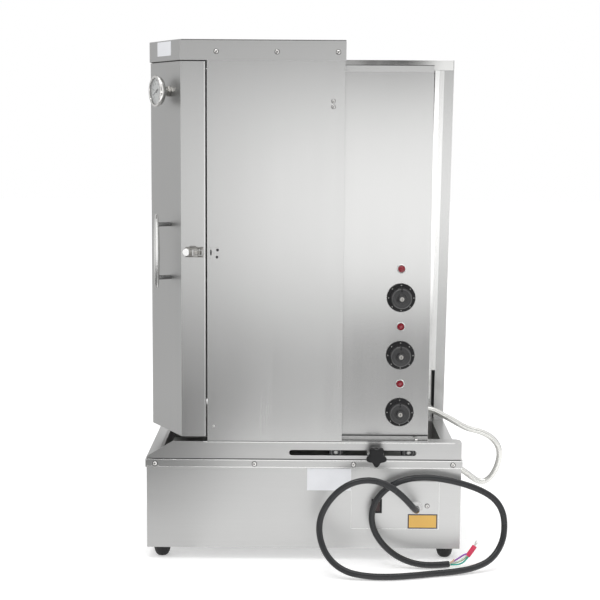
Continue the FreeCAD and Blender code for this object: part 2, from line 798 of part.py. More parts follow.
# Door: an outer skin folded in at its edges and an inner liner, with handle and hinges.
def build_door():
    skin = add(new_body("door_skin"), "XY", band("door_edge", "0", "sheet_gauge"), "door_low", "door_top")
    liner_face = "door_thickness - sheet_gauge"
    for low, high in (("door_low", "door_low + sheet_gauge"), ("door_top - sheet_gauge", "door_top")):
        add(skin, "XY", band("door_edge", "0", liner_face), low, high)
    edge = ("door_edge - sheet_gauge", "door_edge")
    add(skin, "XY", rect(*edge, "near", f"near + {liner_face}"), "door_low", "door_top")
    add(skin, "XY", rect(*edge, f"far - ({liner_face})", "far"), "door_low", "door_top")
    liner = add(new_body("door_liner"), "XY", band("door_edge", liner_face, "door_thickness"),
                "door_low", "door_top")
    for label, sheet_part in (("door_skin", skin), ("door_liner", liner)):
        hole = doc.addObject("Part::Cylinder", "ProbeHole")
        hole.setExpression("Radius", bound("probe_radius + probe_play"))
        hole.setExpression("Height", bound("2 * door_thickness"))
        place(hole, *on_slant("gauge_share", "-1.5 * door_thickness"), "gauge_z", slant_rotation())
        drill(label, sheet_part, hole)

    bar = new_body("HandleBar")
    half = "handle_length / 2"
    turn(bar, [("0", f"-1 * {half}"), ("handle_tip", f"-1 * {half}"),
               ("handle_end", f"handle_round - {half}"),
               ("handle_swell", "-1 * handle_swell_at"), ("handle_mid", "0"),
               ("handle_swell", "handle_swell_at"), ("handle_end", f"{half} - handle_round"),
               ("handle_tip", half), ("0", half)])
    place(bar, *on_slant("handle_share", "handle_standoff"), "handle_z")
    members = [bar]
    for post_z in ("handle_z - handle_pitch / 2", "handle_z + handle_pitch / 2"):
        post = doc.addObject("Part::Cylinder", "HandlePost")
        post.setExpression("Radius", bound("post_radius"))
        post.setExpression("Height", bound("handle_standoff"))
        members.append(place(post, *on_slant("handle_share", "0"), post_z, slant_rotation()))
    fuse("door_handle", members)

    fixed, moving = [], []
    axis = ("hinge_x", "hinge_y")
    for middle in ("door_low + hinge_inset", "door_top - hinge_inset"):
        low, high = f"{middle} - hinge_height / 2", f"{middle} + hinge_height / 2"
        fixed_top, door_foot = f"{middle} - hinge_gap", f"{middle} + hinge_gap"
        back = ("far", "far + sheet_gauge")
        leaf = box("FixedLeaf", "hinge_x", "hinge_x + hinge_leaf", *back, low, fixed_top)
        add(leaf, "XY", (*axis, "hinge_barrel"), low, fixed_top)
        add(leaf, "XY", (*axis, "hinge_pin"), low, high)
        fixed.append(leaf)
        leaf = box("DoorLeaf", "hinge_x - hinge_leaf", "hinge_x", *back, door_foot, high)
        add(leaf, "XY", (*axis, "hinge_barrel"), door_foot, high)
        cut(leaf, "XY", (*axis, "hinge_pin + fit"), door_foot, high)
        moving.append(leaf)
    group("hinge_fixed_leaves", fixed)
    group("hinge_door_leaves", moving)


# Thermometer in the door's slanted face: case with probe, bezel, dial, needle, glass and nut.
def build_thermometer():
    where = on_slant("gauge_share", "0")
    facing = slant_rotation()
    inner = "gauge_radius - gauge_wall"
    case = new_body("thermometer_case")
    turn(case, [("0", "-1 * probe_length"), ("probe_radius", "-1 * probe_length"), ("probe_radius", "0"),
                ("nut_radius", "0"), ("nut_radius", "nut_height"), ("neck_radius", "nut_height"),
                ("neck_radius", "gauge_back"), ("gauge_radius", "gauge_back"),
                ("gauge_radius", "gauge_front"), (inner, "gauge_front"), (inner, "gauge_seat"),
                ("0", "gauge_seat")])
    bezel = new_body("thermometer_bezel")
    rim_in, rim_out = "gauge_radius + fit", "gauge_radius + bezel_gauge"
    lip_low, lip_high = "gauge_front + fit", "gauge_front + fit + sheet_gauge"
    lip_in = "gauge_radius + bezel_gauge - bezel_lip"
    turn(bezel, [(rim_in, "gauge_front - bezel_depth"), (rim_out, "gauge_front - bezel_depth"),
                 (rim_out, lip_high), (lip_in, lip_high), (lip_in, lip_low), (rim_in, lip_low)])
    disc = ("0", "0", f"{inner} - fit")
    dial = add(new_body("thermometer_dial"), "XY", disc, "gauge_seat", "gauge_seat + dial_gauge")
    glass = add(new_body("thermometer_glass"), "XY", disc, "gauge_front - glass_gauge", "gauge_front")
    needle = new_body("thermometer_needle")
    low = "gauge_seat + dial_gauge + needle_lift"
    high = f"{low} + needle_gauge"
    add(needle, "XY", ("0", "0", "needle_hub"), low, high)
    add(needle, "XY", [("needle_length", "0"), ("-1 * needle_tail", "needle_width / 2"),
                       ("-1 * needle_tail", "-1 * needle_width / 2")], low, high)
    nut = new_body("thermometer_nut")
    nut_face = "-1 * door_thickness"
    turn(nut, [("probe_radius + fit", f"{nut_face} - nut_height"), ("nut_radius", f"{nut_face} - nut_height"),
               ("nut_radius", nut_face), ("probe_radius + fit", nut_face)])
    for body in (case, bezel, dial, glass, nut):
        place(body, *where, "gauge_z", facing)
    place(needle, *where, "gauge_z", facing * Rotation(Vector(0, 0, 1), SIZES["needle_turn"]))


# Draw latch: catch on the side panel; base, lever and claw link on the door's near edge.
def build_latch():
    z0, z1 = "latch_z - latch_height / 2", "latch_z + latch_height / 2"
    catch_low, catch_high = "catch_z - catch_height / 2", "catch_z + catch_height / 2"
    catch = box("latch_catch", "catch_left", "catch_right", "near - sheet_gauge", "near",
                catch_low, catch_high)
    add(catch, "XY", rect("catch_left", "catch_left + catch_lip", "near - catch_rise", "near"),
        catch_low, catch_high)

    base = box("latch_base", "latch_left", "latch_right", "near - sheet_gauge", "near", z0, z1)
    ear = rect("latch_right - ear_run - lever_gauge", "latch_right - lever_gauge", "near - ear_rise", "near")
    add(base, "XY", ear, z0, f"{z0} + lug_gauge")
    add(base, "XY", ear, f"{z1} - lug_gauge", z1)
    add(base, "XY", ("pin_x", "pin_y", "latch_pin"), z0, z1)

    low, high = f"{z0} + lug_gauge + knuckle_gap", f"{z1} - lug_gauge - knuckle_gap"
    lever = rod("latch_lever", "pin_x", "pin_y", low, high, "knuckle")
    tip = "pin_x - lever_length"
    face = ("pin_y - lever_gauge / 2", "pin_y + lever_gauge / 2")
    add(lever, "XY", rect(tip, "pin_x", *face), low, high)
    add(lever, "XY", rect(tip, f"{tip} + lever_gauge", "pin_y - lever_tab", face[1]), low, high)
    lug = rect("link_x - lug_run / 2", "link_x + lug_run / 2", "link_y - link_knuckle", face[1])
    add(lever, "XY", lug, low, f"{low} + lug_gauge")
    add(lever, "XY", lug, f"{high} - lug_gauge", high)
    add(lever, "XY", ("link_x", "link_y", "link_pin"), low, high)
    cut(lever, "XY", ("pin_x", "pin_y", "latch_pin + fit"), low, high)

    low, high = f"{low} + lug_gauge + knuckle_gap", f"{high} - lug_gauge - knuckle_gap"
    link = rod("latch_link", "link_x", "link_y", low, high, "link_knuckle")
    reach = "link_x + link_reach"
    plate = ("link_y - link_gauge / 2", "link_y + link_gauge / 2")
    add(link, "XY", rect("link_x", reach, *plate), low, high)
    add(link, "XY", rect(reach, f"{reach} + link_gauge", plate[0], "link_y + link_claw"), low, high)
    cut(link, "XY", ("link_x", "link_y", "link_pin + fit"), low, high)


def control_heights():
    return [f"control_low + {index} * control_pitch" for index in range(3)]


# Heater block: control sheet and far sheet on sliding feet, covers, reflector, elements and guard.
def build_heater_block():
    inner_near, inner_far = "control_face + sheet_gauge", "block_far - sheet_gauge"
    span = ("block_left", "block_right")
    foot = ("block_low", "block_low + sheet_gauge")
    flange = ("block_top - sheet_gauge", "block_top")
    lid_level = ("block_top", "block_top + sheet_gauge")
    upright = rect(*span, "block_low", "block_top")
    panel = add(new_body("control_panel"), "XZ", upright, "control_face", inner_near)
    add(panel, "XY", rect(*span, "near + sheet_gauge + foot_play", inner_near), *foot)
    add(panel, "XY", rect(*span, "control_face", "control_face + block_flange"), *flange)
    for z in control_heights():
        cut(panel, "XZ", ("control_x", z, "bush_hole"), "control_face", inner_near)
        cut(panel, "XZ", ("control_x", f"{z} + lamp_rise", "lamp_body + fit"), "control_face", inner_near)

    sheet_far = add(new_body("far_slide_panel"), "XZ", upright, inner_far, "block_far")
    foot_far = "far - 2 * sheet_gauge - foot_play"
    add(sheet_far, "XY", rect("block_left", "block_right - foot_trim", inner_far, foot_far), *foot)
    add(sheet_far, "XY", rect(*span, "block_far - block_flange", "block_far"), *flange)

    back_wall = ("block_right - sheet_gauge", "block_right")
    back = box("heater_back_cover", *back_wall, inner_near, inner_far, "block_floor", flange[0])
    cut(back, "YZ", ("conduit_y", "outlet_z", "fitting_radius - fitting_step"), *back_wall)
    lid_front = ("control_face - sheet_gauge", "control_face")
    lid = box("heater_top_cover", *span, lid_front[0], "block_far", *lid_level)
    add(lid, "XZ", rect(*span, "block_top - lid_lip", lid_level[1]), *lid_front)
    notch = rect("block_left", "guard_x - notch_margin",
                 "control_face + block_flange", "block_far - block_flange")
    cut(lid, "XY", notch, *lid_level)
    box("heater_floor", "guard_x", "block_right - sheet_gauge", inner_near, inner_far,
        "block_floor", "block_floor + sheet_gauge")

    frame_low, frame_high = "block_floor + sheet_gauge", flange[0]
    wall = ("reflector_x", "reflector_x + sheet_gauge")
    reflector = box("reflector", *wall, inner_near, inner_far, frame_low, frame_high)
    reach = "depth_shift - element_reach"
    for zone in range(3):
        runs = [f"element_low + {zone} * zone_pitch + {step} * element_pitch"
                for step in (-1.5, -0.5, 0.5, 1.5)]
        for z in (runs[0], runs[3]):
            cut(reflector, "YZ", (reach, z, "element_radius + glide_gap"), *wall)
        feature(f"heater_element_{zone + 1}", element_shape(runs))

    wires = []
    for index in range(SIZES["guard_count"]):
        y = f"guard_first + {index} * guard_pitch"
        wires.append(rod("GuardWire", "guard_x", y, frame_low, frame_high, "guard_wire"))
    for z in (f"{frame_low} + guard_margin", f"({frame_low} + {frame_high}) / 2",
              f"{frame_high} - guard_margin"):
        wires.append(add(new_body("GuardBar"), "XZ", ("guard_x", z, "guard_bar"), inner_near, inner_far))
    fuse("heater_guard", wires)


def element_shape(runs):
    """One tubular heating element: four level runs with its two ends turned back through the reflector."""
    x, tail = size("element_x"), size("reflector_x + element_tail")
    start, end = size("depth_shift - element_reach"), size("depth_shift + element_reach")
    low, second, third, high = (size(run) for run in runs)
    corners = [(tail, start, low), (x, start, low), (x, end, low), (x, end, second), (x, start, second),
               (x, start, third), (x, end, third), (x, end, high), (x, start, high), (tail, start, high)]
    bend, terminal = size("element_bend"), size("terminal_bend")
    radii = [terminal, bend, bend, bend, bend, bend, bend, terminal]
    return tube_along(bent_wire([Vector(*corner) for corner in corners], radii), size("element_radius"))


# Controls: three heat regulators with their knobs, and a lamp above each.
def build_controls():
    inner = "control_face + sheet_gauge"
    bodies, lenses = [], []
    for index, z in enumerate(control_heights(), start=1):
        half = "regulator_width / 2"
        regulator = box("Regulator", f"control_x - {half}", f"control_x + {half}",
                        inner, f"{inner} + regulator_depth", f"{z} - {half}", f"{z} + {half}")
        cut(regulator, "XZ", ("control_x", z, "knob_stem + fit"), inner, f"{inner} + regulator_bore")
        bodies.append(regulator)
        knob = new_body(f"regulator_knob_{index}")
        stem_end = "stem_play - sheet_gauge - regulator_bore"
        turn(knob, [("0", stem_end), ("knob_stem", stem_end), ("knob_stem", "knob_lift"),
                    ("knob_radius", "knob_lift"), ("knob_radius", "knob_rim"),
                    ("knob_radius - knob_round", "knob_skirt"), ("knob_grip", "knob_shoulder"),
                    ("knob_grip_top", "knob_height"), ("0", "knob_height")])
        place(knob, "control_x", "control_face", z, OUTWARD_NEAR)
        lens = new_body("LampLens")
        turn(lens, [("0", "-1 * lamp_depth"), ("lamp_body", "-1 * lamp_depth"), ("lamp_body", "0"),
                    ("lamp_radius", "0"), ("lamp_radius", "lamp_rim"), ("lamp_dome", "lamp_rim"),
                    ("lamp_shoulder", "lamp_shoulder_height"), ("0", "lamp_height")])
        lenses.append(place(lens, "control_x", "control_face", f"{z} + lamp_rise", OUTWARD_NEAR))
    group("regulator_bodies", bodies)
    group("indicator_lamps", lenses)


# Clamp: a hooked bracket behind the slotted wall, a washer and a five-lobed knob on its stud.
def build_clamp():
    gauge = "clamp_gauge"
    near_leg = "near + sheet_gauge + clamp_gap"
    root = "control_face + sheet_gauge"
    low, high = "slot_height - clamp_below", "slot_height + clamp_above"
    outline = [(near_leg, high), (near_leg, low), (f"{root} + {gauge}", low),
               (f"{root} + {gauge}", "block_floor - glide_gap"), (root, "block_floor - glide_gap"),
               (root, f"{low} + {gauge}"), (f"{near_leg} + {gauge}", f"{low} + {gauge}"),
               (f"{near_leg} + {gauge}", high)]
    edges = ("clamp_x - clamp_width / 2", "clamp_x + clamp_width / 2")
    bracket = add(new_body("clamp_bracket"), "YZ", outline, *edges)
    cut(bracket, "XZ", ("clamp_x", "slot_height", "stud_radius + fit"), near_leg, f"{near_leg} + {gauge}")

    washer = new_body("clamp_washer")
    washer_top = "glide_gap + washer_gauge"
    turn(washer, [("stud_radius + fit", "glide_gap"), ("washer_radius", "glide_gap"),
                  ("washer_radius", washer_top), ("stud_radius + fit", washer_top)])
    place(washer, "clamp_x", "near", "slot_height", OUTWARD_NEAR)

    knob = new_body("clamp_knob")
    stud_end = f"-1 * (sheet_gauge + clamp_gap + {gauge})"
    neck = "2 * glide_gap + washer_gauge"
    star_low = "star_reach - star_thickness"
    turn(knob, [("0", stud_end), ("stud_radius", stud_end), ("stud_radius", neck), ("star_neck", neck),
                ("star_neck", star_low), ("star_radius", star_low),
                ("star_radius", "star_reach - star_round"), ("star_radius - star_round", "star_reach"),
                ("0", "star_reach")])
    lobe = add(knob, "XY", ("0", "-1 * lobe_centre", "lobe_radius"), star_low, "star_reach - lobe_drop").Tip
    doc.recompute()
    lobes = knob.newObject("PartDesign::PolarPattern", "Lobes")
    lobes.Originals = [lobe]
    lobes.Axis = (next(item for item in knob.Origin.OriginFeatures if item.Role == "Z_Axis"), [""])
    lobes.Angle = 360
    lobes.setExpression("Occurrences", bound("star_lobes"))
    knob.Tip = lobes
    place(knob, "clamp_x", "near", "slot_height", OUTWARD_NEAR)


# Conduit fittings on the heater block's back and on the base's right side.
def build_conduit_fittings():
    bore = "conduit_radius + conduit_play"
    sideways = Rotation(Vector(0, 1, 0), 90)
    for label, x, z in (("conduit_outlet", "block_right", "outlet_z"), ("conduit_inlet", "right", "inlet_z")):
        fitting = new_body(label)
        stem = "fitting_radius - fitting_step - fit"
        seat = "fitting_length - fitting_seat"
        turn(fitting, [("0", "-1 * fitting_tail"), (stem, "-1 * fitting_tail"), (stem, "0"),
                       ("fitting_radius", "0"), ("fitting_radius", "fitting_collar"),
                       ("fitting_radius - fitting_round", "fitting_length"), (bore, "fitting_length"),
                       (bore, seat), ("0", seat)])
        place(fitting, x, "conduit_y", z, sideways)


# Free cords: routes chosen by hand, in the part's own frame.
CONDUIT_ROUTE = [(232, -5, 248), (242, -5, 248), (258, -5, 243.5), (281, -5, 234.5), (305, -5, 224.2),
                 (329, -5, 213.2), (353, -5, 201.5), (369.5, -5, 190.5), (378.5, -5, 177), (380.5, -5, 160),
                 (377, -5, 142), (370, -5, 125.5), (361.5, -5, 113), (349.5, -5, 106), (336.5, -5, 106.5),
                 (325.5, -5, 114), (315.5, -5, 124.5), (305, -5, 133), (298, -5, 136.6), (291.4, -5, 137)]
CORD_ROUTE = [(204.7, -177.5, 100), (204.7, -195, 100), (201, -212, 104), (191.5, -225.5, 115),
              (176, -232, 131), (154, -232, 146), (126, -229, 155), (96, -228, 153.5), (69, -230, 141),
              (47, -234, 120), (35, -241, 93), (36, -250, 63), (51, -261.5, 36), (79, -275, 15.5),
              (115, -286, 7), (155, -288, 6), (195, -277, 6.2), (233, -258, 6), (269, -240, 7),
              (304, -225.5, 14), (332, -214, 28),
              (350, -206, 50), (358, -200, 77), (355, -196, 103), (342, -193, 125), (318, -191, 140.5),
              (288, -190, 152), (254, -190, 161), (219, -189, 165), (185, -189, 161.5), (156, -190, 148.5),
              (134, -193, 127), (122, -197, 99), (124, -203, 70), (140, -210, 43), (167, -216, 20.5),
              (200, -221, 8.5), (234, -221, 6.2), (262, -213, 6.6)]


def cord_shape(label, route, radius):
    """A tube along a free route, each arc as wide as its two runs allow."""
    points = [Vector(*point) for point in route]
    radii = []
    for before, corner, after in zip(points, points[1:], points[2:]):
        run = min(corner.distanceToPoint(before), after.distanceToPoint(corner))
        bend = (corner - before).getAngle(after - corner)
        radii.append(ARC_SHARE * run / math.tan(bend / 2))
    wire = bent_wire(points, radii)
    solid = tube_along(wire, radius)
    share = solid.Volume / (math.pi * radius ** 2 * wire.Length)
    print(f"{label}: length {wire.Length:.0f} mm, volume share {share:.4f}, radii", [round(r) for r in radii])
    return solid


def build_cords():
    feature("conduit", cord_shape("conduit", CONDUIT_ROUTE, size("conduit_radius")))
    feature("power_cord", cord_shape("power_cord", CORD_ROUTE, size("cord_radius")))
    start, before = Vector(*CORD_ROUTE[-1]), Vector(*CORD_ROUTE[-2])
    ahead = (start - before).normalize()
    across = ahead.cross(Vector(0, 0, 1)).normalize()
    upward = across.cross(ahead)
    run, spread = size("core_run"), SIZES["core_spread"]
    cores = []
    count = SIZES["core_count"]
    for index in range(count):
        angle = 2 * math.pi * index / count + math.radians(SIZES["core_turn"])
        ring = (across * math.cos(angle) + upward * math.sin(angle)) * size("core_ring")
        lift = Vector(0, 0, size("core_rise") + size("core_step") * index)
        splayed = start + ring * spread
        route = [start + ring, start + ring + ahead * run, splayed + ahead * (2 * run) + lift,
                 splayed + ahead * (3 * run) + lift * SIZES["core_tip_lift"]]
        cores.append(cord_shape(f"core {index + 1}", route, size("core_radius")))
    feature("cord_cores", Part.makeCompound(cores))


build_base()
build_guides()
build_drip_pan()
build_hatch()
build_drive()
build_cabinet()
build_door()
build_thermometer()
build_latch()
build_heater_block()
build_controls()
build_clamp()
build_conduit_fittings()
build_cords()
doc.recompute()

inner_labels = set()
for item in doc.Objects:
    for holder in ("Links", "Shapes"):
        inner_labels.update(member.Name for member in getattr(item, holder, []))
    for holder in ("Base", "Tool"):
        member = getattr(item, holder, None)
        if item.TypeId == "Part::Cut" and member is not None:
            inner_labels.add(member.Name)
SOLID_TYPES = ("PartDesign::Body", "Part::Cut", "Part::MultiFuse", "Part::Compound", "Part::Feature")
nodes = [item for item in doc.Objects if item.TypeId in SOLID_TYPES and item.Name not in inner_labels]

for item in doc.Objects:
    if "Invalid" in item.State or "Error" in item.State:
        raise RuntimeError(f"{item.Label} failed: {item.State}")
for node in nodes:
    if node.Shape.isNull() or not node.Shape.isValid() or not node.Shape.Solids:
        raise RuntimeError(f"{node.Label} has no valid solid")

os.makedirs("parts", exist_ok=True)
for node in nodes:
    node.Shape.exportStep(f"parts/{node.Label}.step")
    print(f"{node.Label}: {len(node.Shape.Solids)} solids, {node.Shape.Volume:.0f} mm3")
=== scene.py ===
import json
import math

import bmesh
import bpy
from bpy.props import FloatProperty, FloatVectorProperty, IntProperty, PointerProperty
from mathutils import Matrix, Vector


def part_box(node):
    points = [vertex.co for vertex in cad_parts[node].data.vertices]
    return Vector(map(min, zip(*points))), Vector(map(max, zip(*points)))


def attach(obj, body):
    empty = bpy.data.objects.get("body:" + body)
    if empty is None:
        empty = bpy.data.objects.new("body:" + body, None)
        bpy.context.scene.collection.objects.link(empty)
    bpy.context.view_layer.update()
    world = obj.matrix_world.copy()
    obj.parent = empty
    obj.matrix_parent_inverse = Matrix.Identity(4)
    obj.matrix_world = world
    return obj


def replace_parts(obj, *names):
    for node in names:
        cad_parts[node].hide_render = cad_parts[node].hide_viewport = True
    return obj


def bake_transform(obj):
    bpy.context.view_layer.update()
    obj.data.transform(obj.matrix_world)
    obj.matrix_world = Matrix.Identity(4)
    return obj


bl_info = {
    "name": "Vertical Rotisserie",
    "version": (1, 0, 0),
    "blender": (4, 5, 0),
    "location": "View3D > Sidebar > Rotisserie",
    "description": "Dresses the packed rotisserie with its finishes, cords, dials, fasteners and studio",
    "category": "Object",
}

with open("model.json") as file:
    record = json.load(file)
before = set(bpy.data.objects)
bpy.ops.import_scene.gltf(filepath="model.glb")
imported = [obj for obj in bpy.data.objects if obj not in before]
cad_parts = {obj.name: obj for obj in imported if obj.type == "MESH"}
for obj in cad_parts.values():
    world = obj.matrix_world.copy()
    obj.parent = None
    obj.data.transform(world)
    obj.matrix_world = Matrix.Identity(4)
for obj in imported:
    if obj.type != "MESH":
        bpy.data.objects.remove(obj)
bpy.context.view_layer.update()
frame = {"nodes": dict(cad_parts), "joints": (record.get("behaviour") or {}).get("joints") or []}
NODES = frame["nodes"]
JOINTS = {joint["child"]: joint for joint in frame["joints"]}
MM = 0.001


def box_mm(node):
    """Low and high corner of a CAD node in millimetres, in which new pieces are modelled."""
    return [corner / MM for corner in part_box(node)]


def middle_mm(node):
    low, high = box_mm(node)
    return (low + high) / 2


def span(node, axis):
    """Low and high edge of a CAD node along one axis."""
    return [getattr(corner, axis) for corner in box_mm(node)]


def pivot_mm(body):
    """A point on the axis of the joint that carries a body."""
    return Vector(JOINTS[body]["pos_m"]) / MM


SHEET = 1.5
NEAR, FAR = span("base_shell", "y")
SKIRT_LEFT, SKIRT_RIGHT = span("deck_frame", "x")
SKIRT_FACE, SKIRT_FAR_FACE = span("deck_frame", "y")
SKIRT_FOOT, DECK_TOP = span("deck_frame", "z")
WALL_RIGHT = span("near_guide_wall", "x")[1]
WALL_TOP = span("near_guide_wall", "z")[1]
HATCH_FACE = span("hatch_cover", "y")[0]
CAP_FACE = span("cap", "y")[0]
CAP_TOP = span("cap", "z")[1]
RAIL_END = span("far_side_panel", "x")[1]
RAIL_FACE = span("far_side_panel", "y")[0]
RAIL_TOP = span("far_side_panel", "z")[1]
PANEL_LEFT, PANEL_RIGHT = span("near_side_panel", "x")
LID_FACE = span("heater_top_cover", "y")[0]
LID_TOP = span("heater_top_cover", "z")[1]
CONTROL_LEFT, CONTROL_RIGHT = span("control_panel", "x")
CONTROL_FACE = LID_FACE + SHEET
FOOT_TOP = span("control_panel", "z")[0] + SHEET
DOOR_LEFT, DOOR_EDGE = span("door_skin", "x")
DOOR_FOOT, DOOR_TOP = span("door_skin", "z")
# Heating zones, each with a knob and a lamp.
ZONES = (1, 2, 3)

UP = Vector((0, 0, 1))
TO_NEAR = Matrix.Rotation(math.radians(90), 4, "X")
TO_FAR = Matrix.Rotation(math.radians(180), 4, "Z") @ TO_NEAR

# The door's slanted face: its outward normal, and the way along it towards the fold.
SLANT_OUT = -Vector(JOINTS["needle"]["axis"])
SLANT_ACROSS = UP.cross(SLANT_OUT)
TO_SLANT = Matrix((SLANT_ACROSS, UP, SLANT_OUT)).transposed().to_4x4()

# Routes of the two free cords, in millimetres, from the exit on.
POWER_CORD_ROUTE = [
    (204.7, -177.5, 100), (204.7, -195, 100), (201, -212, 105), (191.5, -225.5, 118), (176, -232, 136),
    (154, -232, 154), (126, -229, 164.5), (96, -228, 163), (67, -230, 150), (43, -234, 126),
    (27.5, -241, 96), (28, -251, 63), (43, -267, 32), (73, -282, 12.5), (113, -287, 6.4), (155, -287, 6),
    (195, -278, 6.2), (233, -265, 6), (270, -256, 6.5), (305, -243, 9), (336, -229, 19),
    (357, -214, 44), (363, -204, 73), (359.5, -197, 102), (343.5, -193, 124), (318, -191, 138.5),
    (288, -190, 149), (254, -190, 157), (219, -189, 160.5), (185, -189, 157), (156, -190, 144.5),
    (134, -193, 125), (122, -197, 99), (124, -203, 70), (140, -210, 43), (167, -216, 20.5),
    (200, -221, 8.5), (234, -221, 6.2), (262, -213, 6.6),
]
CONDUIT_ROUTE = [
    (291.4, -5, 137), (298, -5, 134.5), (305, -5, 130), (315.5, -5, 123), (326, -5, 114.5), (337, -5, 107),
    (350, -5, 105.5), (361.5, -5, 113), (370, -5, 125.5), (376.5, -5, 142), (379.5, -5, 160),
    (376, -5, 177), (366, -5, 190.5), (352, -5, 200), (336, -5, 206), (319, -5, 209.5), (304, -5, 216.5),
    (288, -5, 226), (270, -5, 235.5), (256, -5, 243), (243, -5, 248), (232, -5, 248),
]


class SteelFinish(bpy.types.PropertyGroup):
    """Tone and grain of the sheet steel."""

    tone: FloatVectorProperty(name="Steel tone", description="Colour of the brushed sheet", subtype="COLOR",
                              default=(0.54, 0.54, 0.535), min=0, max=1)
    roughness: FloatProperty(name="Sheet roughness", description="Mean roughness of the brushed sheet",
                             default=0.25, min=0, max=1)
    grain: FloatProperty(name="Grain spacing", description="Distance between brush lines", unit="LENGTH",
                         default=0.0011, min=0.0002, max=0.01)


class TrimSizes(bpy.types.PropertyGroup):
    """Sizes of the small fittings."""

    screw_radius: FloatProperty(name="Screw radius", description="Radius of the pan-head screws",
                                unit="LENGTH", default=0.0040, min=0.001, max=0.01)
    rivet_radius: FloatProperty(name="Rivet radius", description="Radius of the rivet heads", unit="LENGTH",
                                default=0.0032, min=0.001, max=0.01)
    knob_dots: IntProperty(name="Knob dots", description="Setting marks round each regulator knob",
                           default=8, min=1, max=24)
    cord_radius: FloatProperty(name="Cord radius", description="Radius of the power cord", unit="LENGTH",
                               default=0.0057, min=0.001, max=0.02)
    conduit_radius: FloatProperty(name="Conduit radius", description="Radius of the flexible conduit",
                                  unit="LENGTH", default=0.0056, min=0.001, max=0.02)


class StudioSettings(bpy.types.PropertyGroup):
    """Place of the camera and strength of the studio light."""

    lens: FloatProperty(name="Lens", description="Focal length on a 36 mm sensor", default=84.0,
                        min=10, max=300)
    camera_x: FloatProperty(name="Camera X", description="Sideways place of the camera", unit="LENGTH",
                            default=-0.0091)
    camera_back: FloatProperty(name="Camera distance", description="Distance to the control side",
                               unit="LENGTH", default=2.487)
    camera_z: FloatProperty(name="Camera height", description="Height of the camera", unit="LENGTH",
                            default=0.790)
    pitch: FloatProperty(name="Pitch", description="Downward tilt of the camera", subtype="ANGLE",
                         default=math.radians(7.125))
    roll: FloatProperty(name="Roll", description="Roll of the camera about its own view", subtype="ANGLE",
                        default=math.radians(0.37))
    ambient: FloatProperty(name="Ambient", description="Level of the surrounding light", default=0.80,
                           min=0, max=5)
    paper_glow: FloatProperty(name="Paper glow", description="How far the floor is lifted to white",
                              default=0.36, min=0, max=1)


class Shade:
    """A socket whose arithmetic adds Math nodes."""

    def __init__(self, nodes, socket):
        self.nodes = nodes
        self.socket = socket

    def _math(self, operation, other):
        return self.nodes.node("ShaderNodeMath", {"operation": operation}, {0: self, 1: other})

    def __add__(self, other):
        return self._math("ADD", other)

    __radd__ = __add__

    def __mul__(self, other):
        return self._math("MULTIPLY", other)

    __rmul__ = __mul__

    def larger(self, other):
        return self._math("MAXIMUM", other)

    def below(self, other):
        return self._math("LESS_THAN", other)


class Nodes:
    """A node tree and the one way in which its nodes are made."""

    def __init__(self, tree):
        self.tree = tree

    def node(self, kind, settings=None, inputs=None, output=0):
        made = self.tree.nodes.new(kind)
        for key, value in (settings or {}).items():
            setattr(made, key, value)
        for key, value in (inputs or {}).items():
            self.feed(made.inputs[key], value)
        return Shade(self, made.outputs[output])

    def feed(self, socket, value):
        if isinstance(value, Shade):
            self.tree.links.new(value.socket, socket)
        elif isinstance(value, (tuple, list)) and socket.type == "RGBA" and len(value) == 3:
            socket.default_value = (*value, 1)
        else:
            socket.default_value = value

    def in_sight(self):
        """One for rays from the camera, reflections and glass, and nought for other light."""
        camera, glossy, through = (self.node("ShaderNodeLightPath", output=f"Is {ray} Ray")
                                   for ray in ("Camera", "Glossy", "Transmission"))
        return camera.larger(glossy).larger(through)


class Finish(Nodes):
    """One material, its shader and the patterns that feed it."""

    def __init__(self, name, **sockets):
        self.material = bpy.data.materials.new(name)
        self.material.use_nodes = True
        super().__init__(self.material.node_tree)
        self.surface = self.tree.nodes["Principled BSDF"]
        for label, value in sockets.items():
            self.set(label.replace("_", " ").title().replace("Ior", "IOR"), value)

    def set(self, label, value):
        self.feed(self.surface.inputs[label], value)

    def place(self, stretch=(1, 1, 1)):
        """Object coordinates, stretched."""
        spot = self.node("ShaderNodeTexCoord", output="Object")
        return self.node("ShaderNodeMapping", {}, {"Vector": spot, "Scale": stretch})

    def noise(self, scale, detail=3.0, stretch=(1, 1, 1)):
        return self.node("ShaderNodeTexNoise", {}, {"Vector": self.place(stretch), "Scale": scale,
                                                    "Detail": detail})

    def mix(self, factor, first, second):
        return self.node("ShaderNodeMix", {"data_type": "RGBA"}, {0: factor, 6: first, 7: second}, output=2)

    def tint(self, pattern, colour, low, high):
        """Vary a colour between two shares of itself, where a pattern is low and where it is high."""
        self.set("Base Color", self.mix(pattern, shaded(colour, low), shaded(colour, high)))

    def bump(self, height, strength, distance):
        self.set("Normal", self.node("ShaderNodeBump", {}, {"Height": height, "Strength": strength,
                                                            "Distance": distance}))


# How many times longer than wide the brush lines and streaks are, and how many marks go to a metre.
LINE_LENGTH = 160
STREAK_LENGTH = 30
STREAKS = 45.0
SMEARS = 7.0
LENS_RED = (0.42, 0.010, 0.030)
GLASS_TINT = (0.97, 0.98, 0.98)
SLEEVE_TONE = (0.80, 0.80, 0.77)


def shaded(colour, factor):
    return tuple(channel * factor for channel in colour)


def drawn_out(along, times):
    """Scale of a pattern that is longer along one axis."""
    return tuple(1 / times if axis == along else 1.0 for axis in "XYZ")


